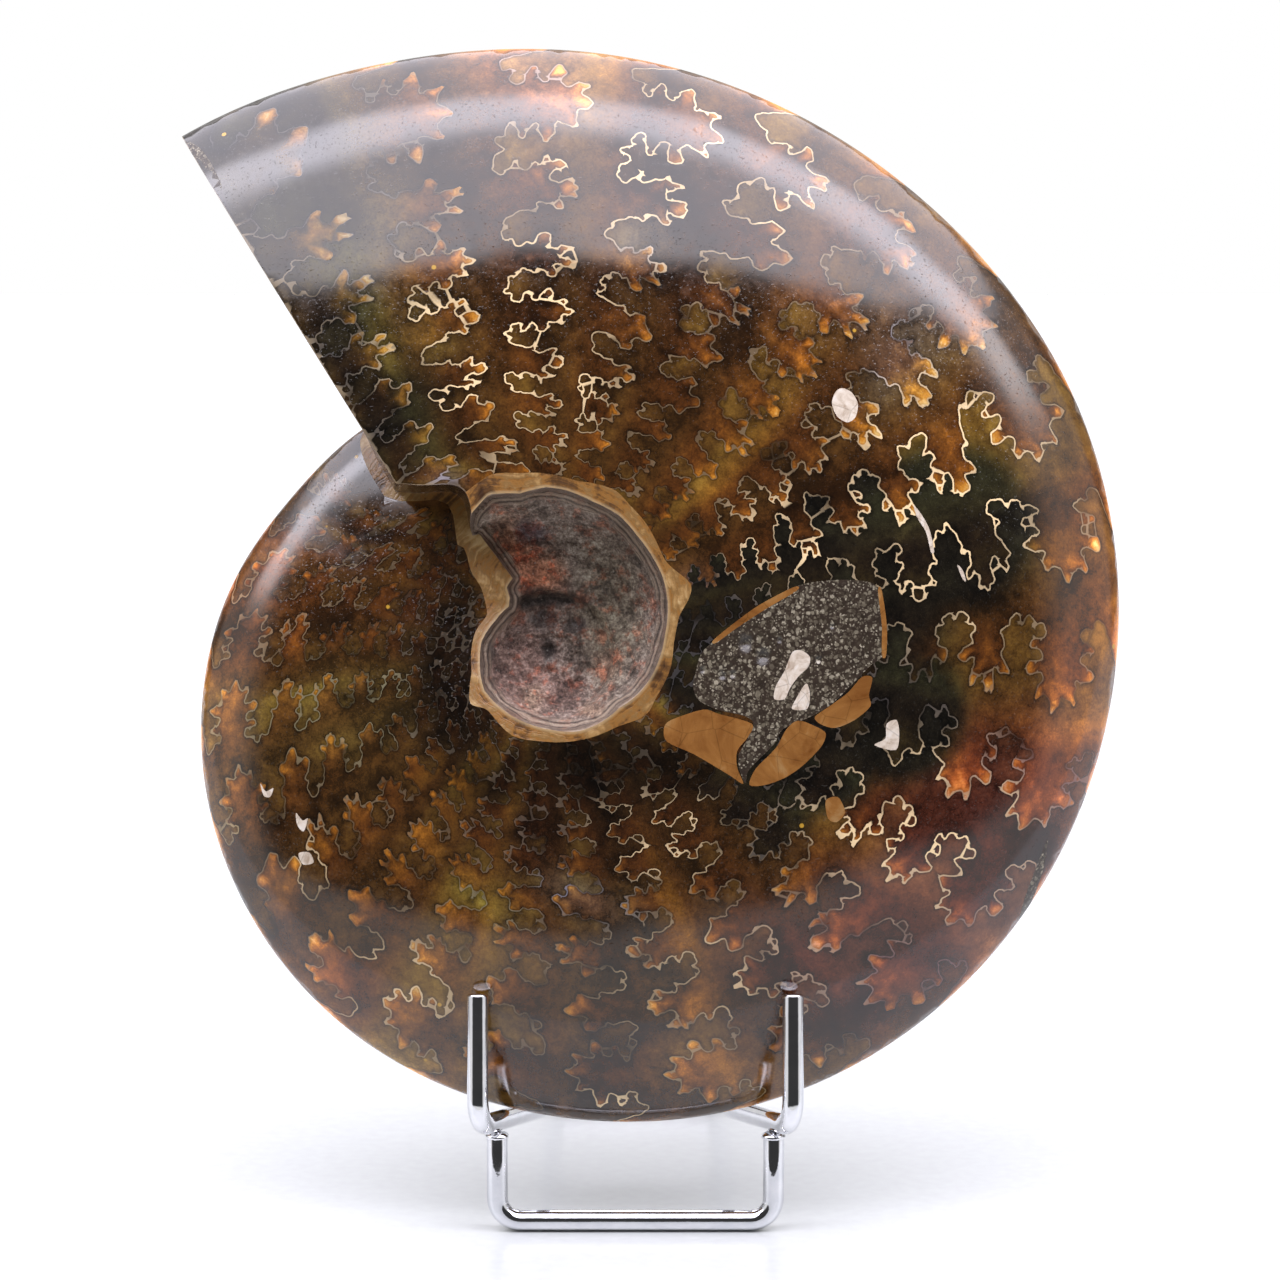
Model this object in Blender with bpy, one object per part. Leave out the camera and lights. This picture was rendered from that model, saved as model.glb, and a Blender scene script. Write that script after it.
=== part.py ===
"""A polished fossil ammonite leaning back on a stand of bent chromed wire.

Metres, +Z up. The shown face looks towards -Y, and the origin is the middle of the base of the object's box.
"""

import math

import bmesh
import bpy
import numpy as np
from mathutils import Vector

COLLECTION = "fossil_ammonite"

# How the fossil stands: it leans back, and its lowest edge hangs this high above the table
LEAN = math.radians(10)
EDGE_HEIGHT = 0.0194
GAP = 0.0003

# Spiral outline: distance of the outer edge from the spiral's centre, by degrees back from the mouth's tip
TIP_ANGLE = math.radians(126.9)
OUTLINE_DEG = (0, 20, 45, 75, 105, 140, 180, 215, 245, 275, 305, 335, 360)
OUTLINE_R = (0.1153, 0.1104, 0.1072, 0.1045, 0.1039, 0.1007, 0.0950, 0.0877, 0.0812, 0.0730, 0.0642, 0.0561, 0.0528)
CENTRE_TO_LOWEST = 0.0880
CENTRE_X = -0.0138

# Whorl section: half thickness as a share of the outline's distance, fullest at SHOULDER of the way out
FULLNESS = 0.215
SHOULDER = 0.34
LENS_POWER = 0.7
SHOULDER_DROP = 0.10

# Sunk centre on both sides: an oval rim round a shallow dish
RIM_CENTRE = (0.0018, 0.0040)
RIM_RADII = (0.0187, 0.0234)
DISH_HEIGHT = 0.0098
DISH_RISE = 0.0012
DISH_SHARES = (0.3, 0.6, 0.8)
WALL_SHARES = (0.9,)
WALL_CURVE = 1.5

# Cut mouth: a flat cut whose plane passes this far from the spiral's axis, down to the lip that curls into the centre
MOUTH_OFFSET = 0.0095
LIP_R = (0.024, 0.033, 0.0365, 0.040)
LIP_DEG = (0.0, -3.5, 4.0, 8.9)
LIP_SLOPE_DEG = 4.0
MOUTH_FADE = math.radians(45)

# Mesh of the fossil: spokes round the spiral, and rings that crowd towards its outer edge
SPOKES = 84
RINGS = 12
RING_CROWDING = 1.9
SHARP_ANGLE = math.radians(40)

# Stand: round rod, drawn with twelve flat sides so that a flat lies on the table
ROD_D = 0.0040
ROD_SIDES = 12
BEND_R = 0.0050
BEND_STEPS = 6
PRONG_X = 0.0284
PRONG_TOP = 0.0243
PRONG_V = -0.0147
ARM_W = 0.00045
BACK_X = 0.0169
BACK_V = 0.0239
BACK_TOP = 0.0800
FOOT_X = 0.0252
FOOT_Y = -0.0045
FOOT_BEND_R = 0.0042
STRUT_TOP_W = 0.0550
STRUT_BEHIND = 0.0024
STRUT_FOOT_Y = 0.0780

CHROME = (0.78, 0.79, 0.81, 1.0)
STONE_BROWN = (0.145, 0.075, 0.035, 1.0)


def curve_through(xs, ys, x):
    """A smooth curve through the points (xs, ys), read at x."""
    xs = np.asarray(xs, float)
    ys = np.asarray(ys, float)
    slopes = np.gradient(ys, xs)
    x = min(max(x, xs[0]), xs[-1])
    i = min(max(int(np.searchsorted(xs, x)) - 1, 0), len(xs) - 2)
    step = xs[i + 1] - xs[i]
    t = (x - xs[i]) / step
    start = (2 * t**3 - 3 * t**2 + 1) * ys[i] + (t**3 - 2 * t**2 + t) * step * slopes[i]
    end = (3 * t**2 - 2 * t**3) * ys[i + 1] + (t**3 - t**2) * step * slopes[i + 1]
    return float(start + end)


def outline_radius(back):
    """The outer edge's distance from the centre, for an angle back from the mouth's tip."""
    return curve_through(OUTLINE_DEG, OUTLINE_R, math.degrees(back))


def rim_radius(angle):
    """The distance from the spiral's centre to the oval rim of the sunk centre, along a ray."""
    ray = Vector((math.cos(angle) / RIM_RADII[0], math.sin(angle) / RIM_RADII[1]))
    centre = Vector((RIM_CENTRE[0] / RIM_RADII[0], RIM_CENTRE[1] / RIM_RADII[1]))
    along = ray.dot(centre)
    return (along + math.sqrt(along**2 - ray.length_squared * (centre.length_squared - 1))) / ray.length_squared


def half_thickness(r, outer):
    """The whorl's half thickness at distance r, where its outer edge is at distance outer."""
    share = min(r / outer, 1.0)
    if share < SHOULDER:
        return outer * FULLNESS * (1 - SHOULDER_DROP * ((SHOULDER - share) / SHOULDER) ** 2)
    out = (share - SHOULDER) / (1 - SHOULDER)
    return outer * FULLNESS * (1 - out**2) ** LENS_POWER


def mouth_swing(r, back, on_old_whorl):
    """How far a spoke turns at distance r so that the spokes beside the mouth follow its cut edge."""
    near = min(back, math.tau - back)
    fade = max(0.0, 1 - near / MOUTH_FADE)
    if r > LIP_R[-1]:
        swing = math.asin(MOUTH_OFFSET / r) - math.asin(MOUTH_OFFSET / OUTLINE_R[0])
    else:
        swing = math.radians(curve_through(LIP_R, LIP_DEG, r))
    if on_old_whorl and r > LIP_R[0]:
        inward = max(0.0, 1 - r / OUTLINE_R[-1])
        swing += math.radians(LIP_SLOPE_DEG) * math.sqrt(inward)
    return swing * fade * fade * (3 - 2 * fade)


def spoke_points(back, on_old_whorl):
    """Points of one spoke on the front face: in the dish, up its wall, then out to the edge."""
    angle = TIP_ANGLE - back
    rim = rim_radius(angle)
    outer = outline_radius(back)
    rim_height = half_thickness(rim, outer)
    places = []
    for share in DISH_SHARES:
        places.append((rim * share, DISH_HEIGHT + DISH_RISE * share))
    low = DISH_HEIGHT + DISH_RISE
    for share in WALL_SHARES:
        climb = (share - DISH_SHARES[-1]) / (1 - DISH_SHARES[-1])
        places.append((rim * share, low + (rim_height - low) * climb**WALL_CURVE))
    for ring in range(RINGS):
        share = 1 - (1 - ring / RINGS) ** RING_CROWDING
        r = rim + (outer - rim) * share
        places.append((r, half_thickness(r, outer)))
    points = []
    for r, height in places:
        turned = angle + mouth_swing(r, back, on_old_whorl)
        points.append(Vector((r * math.cos(turned), -height, r * math.sin(turned))))
    turned = angle + mouth_swing(outer, back, on_old_whorl)
    edge = Vector((outer * math.cos(turned), 0, outer * math.sin(turned)))
    return points, edge


def add_spoke(mesh, points, edge, shared=None):
    """Adds a spoke's vertices: the front points, the edge point and the mirrored back points."""
    kept = len(DISH_SHARES) if shared else 0
    front = [mesh.verts.new(p) for p in points[kept:]]
    back = [mesh.verts.new(Vector((p.x, -p.y, p.z))) for p in points[kept:]]
    middle = mesh.verts.new(edge)
    if shared:
        front = shared["front"][:kept] + front
        back = shared["back"][:kept] + back
    return {"front": front, "back": back, "edge": middle}


def loft(mesh, first, second):
    """Joins two neighbouring spokes with faces, leaving out the stretch where they share vertices."""
    one = first["front"] + [first["edge"]] + first["back"][::-1]
    two = second["front"] + [second["edge"]] + second["back"][::-1]
    for i in range(len(one) - 1):
        corners = [one[i], one[i + 1], two[i + 1], two[i]]
        distinct = list(dict.fromkeys(corners))
        if len(distinct) > 2:
            mesh.faces.new(distinct)


def make_ammonite(material):
    """One closed solid, lofted spoke by spoke round the spiral, with the mouth's cut as its last step."""
    mesh = bmesh.new()
    spokes = []
    for i in range(SPOKES + 1):
        back = math.tau * i / SPOKES
        last = i == SPOKES
        points, edge = spoke_points(back, last)
        spokes.append(add_spoke(mesh, points, edge, spokes[0] if last else None))
    for first, second in zip(spokes, spokes[1:]):
        loft(mesh, first, second)
    loft(mesh, spokes[-1], spokes[0])
    for side, height in (("front", -DISH_HEIGHT), ("back", DISH_HEIGHT)):
        pole = mesh.verts.new((0, height, 0))
        for first, second in zip(spokes, spokes[1:]):
            mesh.faces.new((first[side][0], second[side][0], pole))
    bmesh.ops.triangulate(mesh, faces=mesh.faces[:], quad_method="SHORT_EDGE")
    bmesh.ops.recalc_face_normals(mesh, faces=mesh.faces[:])
    data = bpy.data.meshes.new("ammonite")
    mesh.to_mesh(data)
    mesh.free()
    data.shade_smooth()
    data.set_sharp_from_angle(angle=SHARP_ANGLE)
    data.materials.append(material)
    fossil = bpy.data.objects.new("ammonite", data)
    fossil.rotation_euler.x = -LEAN
    fossil.location = from_cradle(CENTRE_X, 0, CENTRE_TO_LOWEST)
    return fossil


def from_cradle(x, v, w):
    """A point of the leaning cradle, v back and w up from the fossil's lowest edge, in upright axes."""
    y = v * math.cos(LEAN) + w * math.sin(LEAN)
    z = EDGE_HEIGHT + w * math.cos(LEAN) - v * math.sin(LEAN)
    return Vector((x, y, z))


def rounded_path(corners, radius):
    """Straight runs between corners, with an arc of the given radius at each inner corner."""
    points = [corners[0]]
    for before, corner, after in zip(corners, corners[1:], corners[2:]):
        way_in = (before - corner).normalized()
        way_out = (after - corner).normalized()
        half = way_in.angle(way_out) / 2
        reach = radius / math.tan(half)
        centre = corner + (way_in + way_out).normalized() * (radius / math.sin(half))
        start = (corner + way_in * reach - centre).normalized()
        end = (corner + way_out * reach - centre).normalized()
        for i in range(BEND_STEPS + 1):
            points.append(centre + start.slerp(end, i / BEND_STEPS) * radius)
    points.append(corners[-1])
    return points


def make_rod(name, points, material, tilt=0.0):
    """A bent round rod along the points, with flat cut ends."""
    data = bpy.data.curves.new(name, "CURVE")
    data.dimensions = "3D"
    data.bevel_depth = ROD_D / 2
    data.bevel_resolution = ROD_SIDES // 2 - 2
    data.use_fill_caps = True
    data.twist_mode = "MINIMUM"
    spline = data.splines.new("POLY")
    spline.points.add(len(points) - 1)
    for point, place in zip(spline.points, points):
        point.co = (*place, 1.0)
        point.tilt = tilt
    data.materials.append(material)
    return bpy.data.objects.new(name, data)


def mirrored(corners):
    """The corners of the right half, then those of the left half in reverse."""
    return corners + [Vector((-p.x, p.y, p.z)) for p in reversed(corners)]


def make_cradle(material):
    """One rod: prong, arm, backrest and over to the other side."""
    right = [
        from_cradle(PRONG_X, PRONG_V, PRONG_TOP),
        from_cradle(PRONG_X, PRONG_V, ARM_W),
        from_cradle(BACK_X, BACK_V, ARM_W),
        from_cradle(BACK_X, BACK_V, BACK_TOP),
    ]
    return make_rod("cradle_wire", rounded_path(mirrored(right), BEND_R), material)


def flat_side():
    """Half the rod's width across its flats, which is how high its middle lies above the table."""
    return ROD_D / 2 * math.cos(math.pi / ROD_SIDES)


def make_front_foot(material):
    """A U that stands on the table and ends just under the arms."""
    arm = from_cradle(FOOT_X, 0, ARM_W).z - FOOT_Y * math.tan(LEAN)
    top = arm - ROD_D / 2 / math.cos(LEAN) - ROD_D / 2 * math.tan(LEAN) - GAP
    right = [
        Vector((FOOT_X, FOOT_Y, top)),
        Vector((FOOT_X, FOOT_Y, flat_side())),
    ]
    return make_rod("front_foot", rounded_path(mirrored(right), FOOT_BEND_R), material, math.pi / ROD_SIDES)


def make_rear_strut(material):
    """A U that leans from behind the backrest down to the table."""
    top = from_cradle(BACK_X, BACK_V, STRUT_TOP_W)
    foot = Vector((BACK_X, STRUT_FOOT_Y, flat_side()))
    slant = (foot - top).normalized()
    top += Vector((0, STRUT_BEHIND, 0)) + slant * ROD_D / 2
    tilt = math.pi / ROD_SIDES + math.atan2(foot.y - top.y, top.z - foot.z)
    return make_rod("rear_strut", rounded_path(mirrored([top, foot]), BEND_R), material, tilt)


def make_material(name, colour, roughness, metallic):
    """A plain Principled material."""
    material = bpy.data.materials.new(name)
    material.use_nodes = True
    shader = material.node_tree.nodes["Principled BSDF"]
    shader.inputs["Base Color"].default_value = colour
    shader.inputs["Roughness"].default_value = roughness
    shader.inputs["Metallic"].default_value = metallic
    return material


def centre_on_box(objects):
    """Moves everything so that the origin is the middle of the base of the whole box."""
    bpy.context.view_layer.update()
    graph = bpy.context.evaluated_depsgraph_get()
    places = []
    for thing in objects:
        shown = thing.evaluated_get(graph)
        mesh = shown.to_mesh()
        places += [shown.matrix_world @ v.co for v in mesh.vertices]
        shown.to_mesh_clear()
    low = Vector(min(p[k] for p in places) for k in range(3))
    high = Vector(max(p[k] for p in places) for k in range(3))
    shift = Vector(((low.x + high.x) / 2, (low.y + high.y) / 2, low.z))
    for thing in objects:
        thing.location -= shift


def main():
    for thing in list(bpy.data.objects):
        bpy.data.objects.remove(thing)
    collection = bpy.data.collections.new(COLLECTION)
    bpy.context.scene.collection.children.link(collection)
    stone = make_material("polished_fossil", STONE_BROWN, 0.15, 0.0)
    chrome = make_material("chrome", CHROME, 0.08, 1.0)
    parts = [
        make_ammonite(stone),
        make_cradle(chrome),
        make_front_foot(chrome),
        make_rear_strut(chrome),
    ]
    for part in parts:
        collection.objects.link(part)
    centre_on_box(parts)


main()
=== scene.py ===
"""The looks of a polished fossil ammonite on its stand of bent chromed wire.

The fossil is one closed mesh. Its two faces are drawn in spiral coordinates: the angle back from the
mouth, and a depth inwards from the outer edge that keeps shapes true. Lengths are millimetres until a
mesh is made. On the fossil, x is to the right, y away from the viewer and w up the face.
"""
import math

import bpy
import numpy as np
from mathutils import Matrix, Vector, kdtree, noise
from mathutils.geometry import delaunay_2d_cdt


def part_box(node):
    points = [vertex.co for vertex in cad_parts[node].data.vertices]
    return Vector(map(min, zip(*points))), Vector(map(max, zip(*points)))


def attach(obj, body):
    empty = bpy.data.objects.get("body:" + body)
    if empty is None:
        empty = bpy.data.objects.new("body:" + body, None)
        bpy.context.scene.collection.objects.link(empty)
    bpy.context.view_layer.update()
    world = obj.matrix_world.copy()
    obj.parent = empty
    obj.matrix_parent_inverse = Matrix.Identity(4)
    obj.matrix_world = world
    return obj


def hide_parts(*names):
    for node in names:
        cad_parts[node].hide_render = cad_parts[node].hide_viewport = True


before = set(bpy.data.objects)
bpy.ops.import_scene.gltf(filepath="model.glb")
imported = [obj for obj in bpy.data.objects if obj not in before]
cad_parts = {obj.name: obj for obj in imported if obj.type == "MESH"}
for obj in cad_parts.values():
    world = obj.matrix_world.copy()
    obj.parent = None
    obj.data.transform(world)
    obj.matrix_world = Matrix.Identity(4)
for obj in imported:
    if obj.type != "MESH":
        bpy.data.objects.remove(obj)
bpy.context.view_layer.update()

MM = 0.001
TAU = math.tau
FRONT = -1
BACK = 1
TINY = 1e-12

# How the fossil stands, as in the CAD model
LEAN = math.radians(10)
EDGE_HEIGHT = 19.4
CENTRE_TO_LOWEST = 88.0
CENTRE_X = -13.8
FOOT_Y = -4.5

# Spiral outline and whorl section, as in the CAD model
TIP_ANGLE = math.radians(126.9)
OUTLINE_DEG = (0, 20, 45, 75, 105, 140, 180, 215, 245, 275, 305, 335, 360)
OUTLINE_R = (115.3, 110.4, 107.2, 104.5, 103.9, 100.7, 95.0, 87.7, 81.2, 73.0, 64.2, 56.1, 52.8)
FULLNESS = 0.215
SHOULDER = 0.34
LENS_POWER = 0.7
SHOULDER_DROP = 0.10

# The cut mouth, as in the CAD model
MOUTH_OFFSET = 9.5
LIP_R = (24.0, 33.0, 36.5, 40.0)
LIP_DEG = (0.0, -3.5, 4.0, 8.9)
LIP_SLOPE_DEG = 4.0
MOUTH_FADE = math.radians(45)
MOUTH_WAY = np.array([-math.sin(TIP_ANGLE), 0, math.cos(TIP_ANGLE)])
SWING_ROUNDS = 6
THROAT_R = 24.5
STEP_BULGE = 0.4

# How the spiral's depths are worked out
DEPTH_SAMPLES = 6000
INNERMOST_SHARE = 0.05
EDGE_CROWDING = 2.5

# Rim of the sunk centre: degrees back from the mouth, distance from the spiral's centre
FRONT_RIM = (
    (0, 27.3), (8, 28.7), (21, 27.0), (32, 27.4), (40, 26.8), (51, 25.5), (63, 24.8), (74, 23.4),
    (85, 22.5), (96, 21.8), (108, 20.7), (124, 19.1), (139, 18.3), (158, 17.4), (175, 16.3), (192, 16.6),
    (205, 16.7), (222, 16.1), (239, 15.9), (257, 16.0), (273, 16.1), (295, 14.5), (305, 14.0), (324, 12.0),
    (341, 10.9), (348, 11.8), (352, 13.4), (360, 14.0),
)
BACK_RIM = (
    (0, 27.3), (30, 26.5), (60, 25.2), (90, 23.0), (120, 21.0), (150, 18.9), (180, 18.0), (210, 17.6),
    (240, 17.2), (270, 17.4), (300, 18.4), (330, 20.6), (360, 24.5),
)

# Outer edge of the worn shell band round the sunk centre
FRONT_BAND = (
    (0, 31.0), (11, 31.8), (21, 30.6), (31, 29.9), (43, 28.7), (50, 28.7), (58, 28.6), (65, 27.3),
    (74, 26.1), (88, 24.0), (95, 24.2), (104, 25.7), (109, 24.6), (116, 22.0), (128, 20.7), (141, 20.7),
    (157, 20.3), (167, 20.6), (182, 18.8), (198, 18.4), (209, 18.3), (227, 18.4), (243, 19.0), (262, 17.9),
    (271, 19.5), (279, 18.1), (287, 16.7), (298, 16.0), (313, 15.1), (327, 13.8), (340, 16.6), (345, 20.2),
    (350, 23.0), (354, 28.0), (356.5, 36.0), (356.8, 46.0), (358, 51.0), (360, 52.6),
)
BACK_BAND = (
    (0, 30.0), (30, 29.0), (60, 27.5), (90, 25.0), (120, 23.5), (150, 20.9), (180, 20.4), (210, 19.6),
    (240, 19.6), (270, 19.4), (300, 21.0), (330, 23.0), (360, 28.0),
)

# How fine the meshes are
RIM_STEPS = 240
AROUND_STEPS = 420
NEW_EDGE_STEPS = 130
OLD_EDGE_STEPS = 60
OLD_RIM_SPACING = 0.02
STEP_POINTS = 13
OUTLINE_STEPS = 4
MEAN_R = 80.0
DEEPEST = -2.2
ROW_SHARE = 0.87
SCATTER = 0.25
LOOSE_GAP = 0.62
LINE_GAP = 0.35
RIBBON = 0.42
RIBBON_GAP = 0.3
LEAST_RIBBON = 0.75
DENSE_STEPS = 3
TREE_ABOVE = 0.004
TREE_BESIDE = 0.02
LEAST_AREA = 1e-12
MERGE_DISTANCE = 1e-7
CHUNK = 4000

# Suture lines: their places round the whorl and the lobes' places across it
FIRST_SUTURE = math.radians(7.4)
SUTURE_STEP = math.radians(13.6)
SUTURES = 26
LOBE_SHARES = (0.205, 0.241, 0.283, 0.333, 0.391, 0.46, 0.541, 0.636, 0.747, 0.88)
TOP_SADDLE = -0.035
LINE_END = ((-0.1 * SUTURE_STEP, 0.4 * TOP_SADDLE), (0.12 * SUTURE_STEP, 0.02))
SADDLE_JITTER = 0.008
LOBE_JITTER = 0.007
SMALL_LOBES = 2
SMALL_LOBE_DEPTH = 0.52
LOBE_DEPTH = 0.78
LOBE_DEPTH_JITTER = 0.05
USUAL_LOBE_CHANCE = 0.45
CURVE_TENSION = 0.42
CURVE_STEPS = 6

# Suture lines: size, waves a depth and change from line to line of their two sways
SWAYS = ((0.018, 3, 0.7), (0.010, 11, 1.0))

# Small scallops along the suture lines
FRILL_LENGTH = 0.030
FRILL_DEPTH = 0.0048
FRILL_SPREAD = (0.6, 1.4)
FRILL_SIZES = (0.4, 1.3)
FRILL_MIDDLE = 0.6
SPARE_FRILLS = 1.6

# Where lines and glow have their full size: nearer the centre they are finer and fainter
FULL_LINE_R = 60.0
FINEST_LINE = 0.6
FINEST_MARK = 0.45
FULL_GLOW_R = 70.0
FAINTEST_GLOW = 0.4
PLAIN_LINE = 9.0

# Lobe shapes: across from one saddle's middle to the next, and down from the saddle tops to the tip
LOBE_SHAPES = {
    "arrow": (
        (0, .14), (.06, .05), (.14, .01), (.21, .03), (.26, .12), (.26, .22), (.20, .30), (.24, .37),
        (.16, .47), (.09, .54), (.08, .63), (.13, .72), (.24, .69), (.32, .69), (.34, .79), (.33, .91),
        (.38, .97), (.45, .97), (.51, .91), (.56, .84), (.65, .80), (.75, .77), (.73, .66), (.69, .54),
        (.70, .48), (.78, .45), (.80, .36), (.77, .28), (.83, .20), (.86, .08), (.92, .01), (1, .14),
    ),
    "barbed": (
        (0, .12), (.08, .02), (.20, .0), (.28, .04), (.30, .12), (.20, .22), (.14, .28), (.24, .30),
        (.27, .38), (.17, .46), (.19, .52), (.09, .60), (.15, .66), (.14, .74), (.18, .83), (.23, .75),
        (.31, .64), (.38, .66), (.40, .74), (.36, .84), (.37, .93), (.43, .94), (.46, 1.0), (.52, .96),
        (.58, .97), (.58, .80), (.63, .77), (.74, .83), (.75, .75), (.69, .66), (.67, .55), (.70, .49),
        (.80, .48), (.77, .38), (.80, .28), (.86, .14), (.93, .06), (1, .12),
    ),
    "oak": (
        (0, .05), (.08, .0), (.15, .04), (.13, .11), (.24, .09), (.31, .16), (.26, .23), (.13, .27),
        (.11, .35), (.25, .37), (.26, .46), (.12, .52), (.07, .60), (.15, .66), (.26, .61), (.31, .68),
        (.26, .80), (.27, .90), (.36, .84), (.42, .88), (.47, 1.0), (.54, .92), (.57, .82), (.66, .84),
        (.73, .88), (.72, .75), (.71, .65), (.84, .63), (.93, .57), (.85, .49), (.73, .43), (.77, .35),
        (.90, .32), (.85, .25), (.71, .19), (.75, .10), (.85, .11), (.87, .03), (.94, .0), (1, .05),
    ),
    "fork": (
        (0, .10), (.05, .02), (.14, .0), (.20, .06), (.19, .14), (.29, .17), (.31, .26), (.24, .32),
        (.27, .40), (.19, .45), (.10, .52), (.09, .60), (.16, .66), (.25, .62), (.33, .60), (.33, .72),
        (.29, .84), (.31, .96), (.37, .90), (.43, .80), (.48, .78), (.52, .88), (.55, 1.0), (.61, .95),
        (.66, .99), (.66, .86), (.63, .74), (.66, .68), (.76, .72), (.85, .70), (.84, .62), (.75, .55),
        (.70, .46), (.77, .40), (.75, .32), (.69, .24), (.76, .16), (.82, .15), (.83, .05), (.90, .0),
        (.96, .02), (1, .10),
    ),
    "small": (
        (0, .12), (.10, .02), (.22, .05), (.28, .18), (.22, .32), (.28, .45), (.20, .58), (.14, .70),
        (.24, .78), (.36, .74), (.42, .88), (.50, 1.0), (.58, .92), (.62, .78), (.74, .76), (.84, .66),
        (.76, .52), (.72, .40), (.78, .28), (.72, .16), (.80, .05), (.90, .02), (1, .12),
    ),
}
LOBE_ORDER = ("small", "small", "arrow", "fork", "arrow", "barbed", "oak", "fork", "barbed", "oak")
LOBE_CHOICES = ("arrow", "barbed", "oak", "fork", "arrow")

# How far a chamber's glow reaches, and the grid on which it is worked out, in angle back and depth
GLOW_REACH = 0.034
GRID_STEP = 0.006
GRID_DEPTHS = (-2.3, 0.1)
GRID_MARGIN = 0.3
GLOW_WINDOW = 2.2
BELL_SLOPE = 1.702
LOBE_SLOPE = 1.2

# Kinds of stone, in the order of the mesh's materials
KINDS = ("stone", "band", "gravel", "tan", "white", "matrix", "mouth")
PATCH_KINDS = ("gravel", "tan", "white")

# Patches on the shown face, as closed outlines in x and w
GRAVEL = (
    (24.6, -5.7), (25.5, -2.5), (28.0, 0.0), (34.8, 5.2), (42.4, 9.6), (48.5, 10.7), (53.6, 10.7),
    (56.9, 9.7), (57.8, 5.2), (58.5, -2.2), (55.9, -4.5), (49.5, -10.9), (45.7, -13.4), (40.2, -15.9),
    (38.6, -18.6), (34.1, -23.2), (33.5, -25.7), (32.4, -23.0), (32.3, -20.4), (33.5, -18.2), (34.9, -15.0),
    (33.4, -13.6), (28.8, -12.5), (25.2, -10.8), (24.1, -8.2),
)
TAN_SHARDS = (
    (
        (18.9, -15.9), (20.1, -14.3), (25.9, -12.4), (28.8, -13.2), (34.6, -14.9), (34.0, -17.2),
        (32.0, -19.8), (32.0, -22.7), (33.1, -25.7), (30.4, -24.0), (24.3, -20.4), (19.5, -18.2),
    ),
    (
        (34.2, -25.9), (35.3, -23.0), (38.9, -19.3), (40.6, -16.2), (42.2, -14.6), (43.8, -14.5),
        (47.0, -15.9), (47.9, -16.9), (47.0, -19.1), (43.8, -22.4), (40.6, -24.6), (37.0, -25.9),
    ),
    (
        (45.9, -13.7), (48.8, -11.6), (51.9, -9.3), (54.3, -6.6), (56.2, -6.7), (55.6, -9.8), (55.9, -11.8),
        (53.0, -14.3), (49.5, -15.7), (46.9, -15.0),
    ),
    ((47.9, -28.7), (50.1, -28.1), (51.4, -30.8), (49.9, -32.6), (48.3, -31.9)),
    (
        (27.7, 0.0), (31.6, 3.2), (36.1, 6.4), (42.1, 9.5), (42.7, 8.9), (37.0, 5.5), (32.1, 2.3),
        (28.2, -0.5),
    ),
    ((57.2, 8.9), (57.9, 8.9), (58.8, 2.7), (58.7, -2.7), (57.9, -2.7), (57.9, 2.7)),
)
SLIT = ((88.9, -36.1), (88.2, -42.0), (86.0, -48.5), (84.0, -51.8), (84.7, -47.5), (86.8, -41.6))
TIP_PITS = (
    (-67.4, 90.8), (-65.0, 89.1), (-62.6, 85.5), (-60.9, 81.7), (-63.7, 83.4), (-65.5, 86.4), (-67.2, 89.3),
)
WHITE_SHARDS = (
    (
        (41.8, -2.2), (43.4, -1.8), (45.0, -3.0), (44.7, -4.8), (43.0, -6.4), (41.4, -8.6), (40.5, -10.5),
        (38.6, -10.5), (38.9, -8.2), (40.5, -5.4),
    ),
    ((44.3, -7.7), (45.0, -9.6), (44.5, -12.3), (41.8, -12.3), (42.5, -10.5)),
    ((58.8, -15.0), (60.6, -14.3), (61.1, -16.7), (60.5, -19.7), (56.6, -18.8), (58.6, -17.6)),
    ((63.7, 24.2), (65.2, 22.4), (66.6, 19.7), (67.4, 16.0), (66.8, 15.8), (65.9, 19.4), (64.3, 22.0)),
    ((71.6, 13.5), (72.6, 12.6), (73.2, 10.6), (72.5, 11.1)),
    ((-54.2, -26.0), (-53.2, -27.4), (-51.8, -26.8), (-52.4, -28.4), (-53.6, -28.2)),
    ((-47.6, -31.2), (-46.4, -32.6), (-45.4, -32.2), (-46.2, -34.6), (-47.4, -33.4)),
    ((-47.2, -38.6), (-45.2, -38.4), (-44.4, -40.2), (-46.4, -40.6)),
    (
        (50.8, 45.2), (52.6, 44.4), (53.7, 42.3), (53.2, 39.9), (51.7, 39.0), (49.9, 40.1), (49.0, 42.4),
        (49.6, 44.4),
    ),
)

# Thin pale threads of shell on the shown face, in x and w
THREADS = (
    ((40.3, -26.2), (39.4, -28.3), (39.6, -29.4), (41.2, -30.0), (42.6, -29.0)),
    ((5.5, -20.0), (6.2, -22.0), (6.8, -25.0), (8.5, -29.0)),
    ((24.6, 4.0), (23.3, -0.6), (21.5, -4.0), (20.2, -9.0), (19.5, -13.0)),
)

# Small round pits in the gravel: x, w, radius, depth
PITS = (
    (33.5, -0.6, 1.1, 0.9), (36.6, -2.9, 1.1, 0.9), (29.3, -6.3, 0.6, 0.5), (31.2, -6.1, 0.5, 0.5),
    (25.8, -5.4, 0.5, 0.4), (39.6, 0.0, 0.4, 0.4), (46.5, -3.5, 0.5, 0.4), (49.0, 2.5, 0.4, 0.3),
)
PIT_RINGS = 6
PIT_RING_STEP = 0.3

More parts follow.
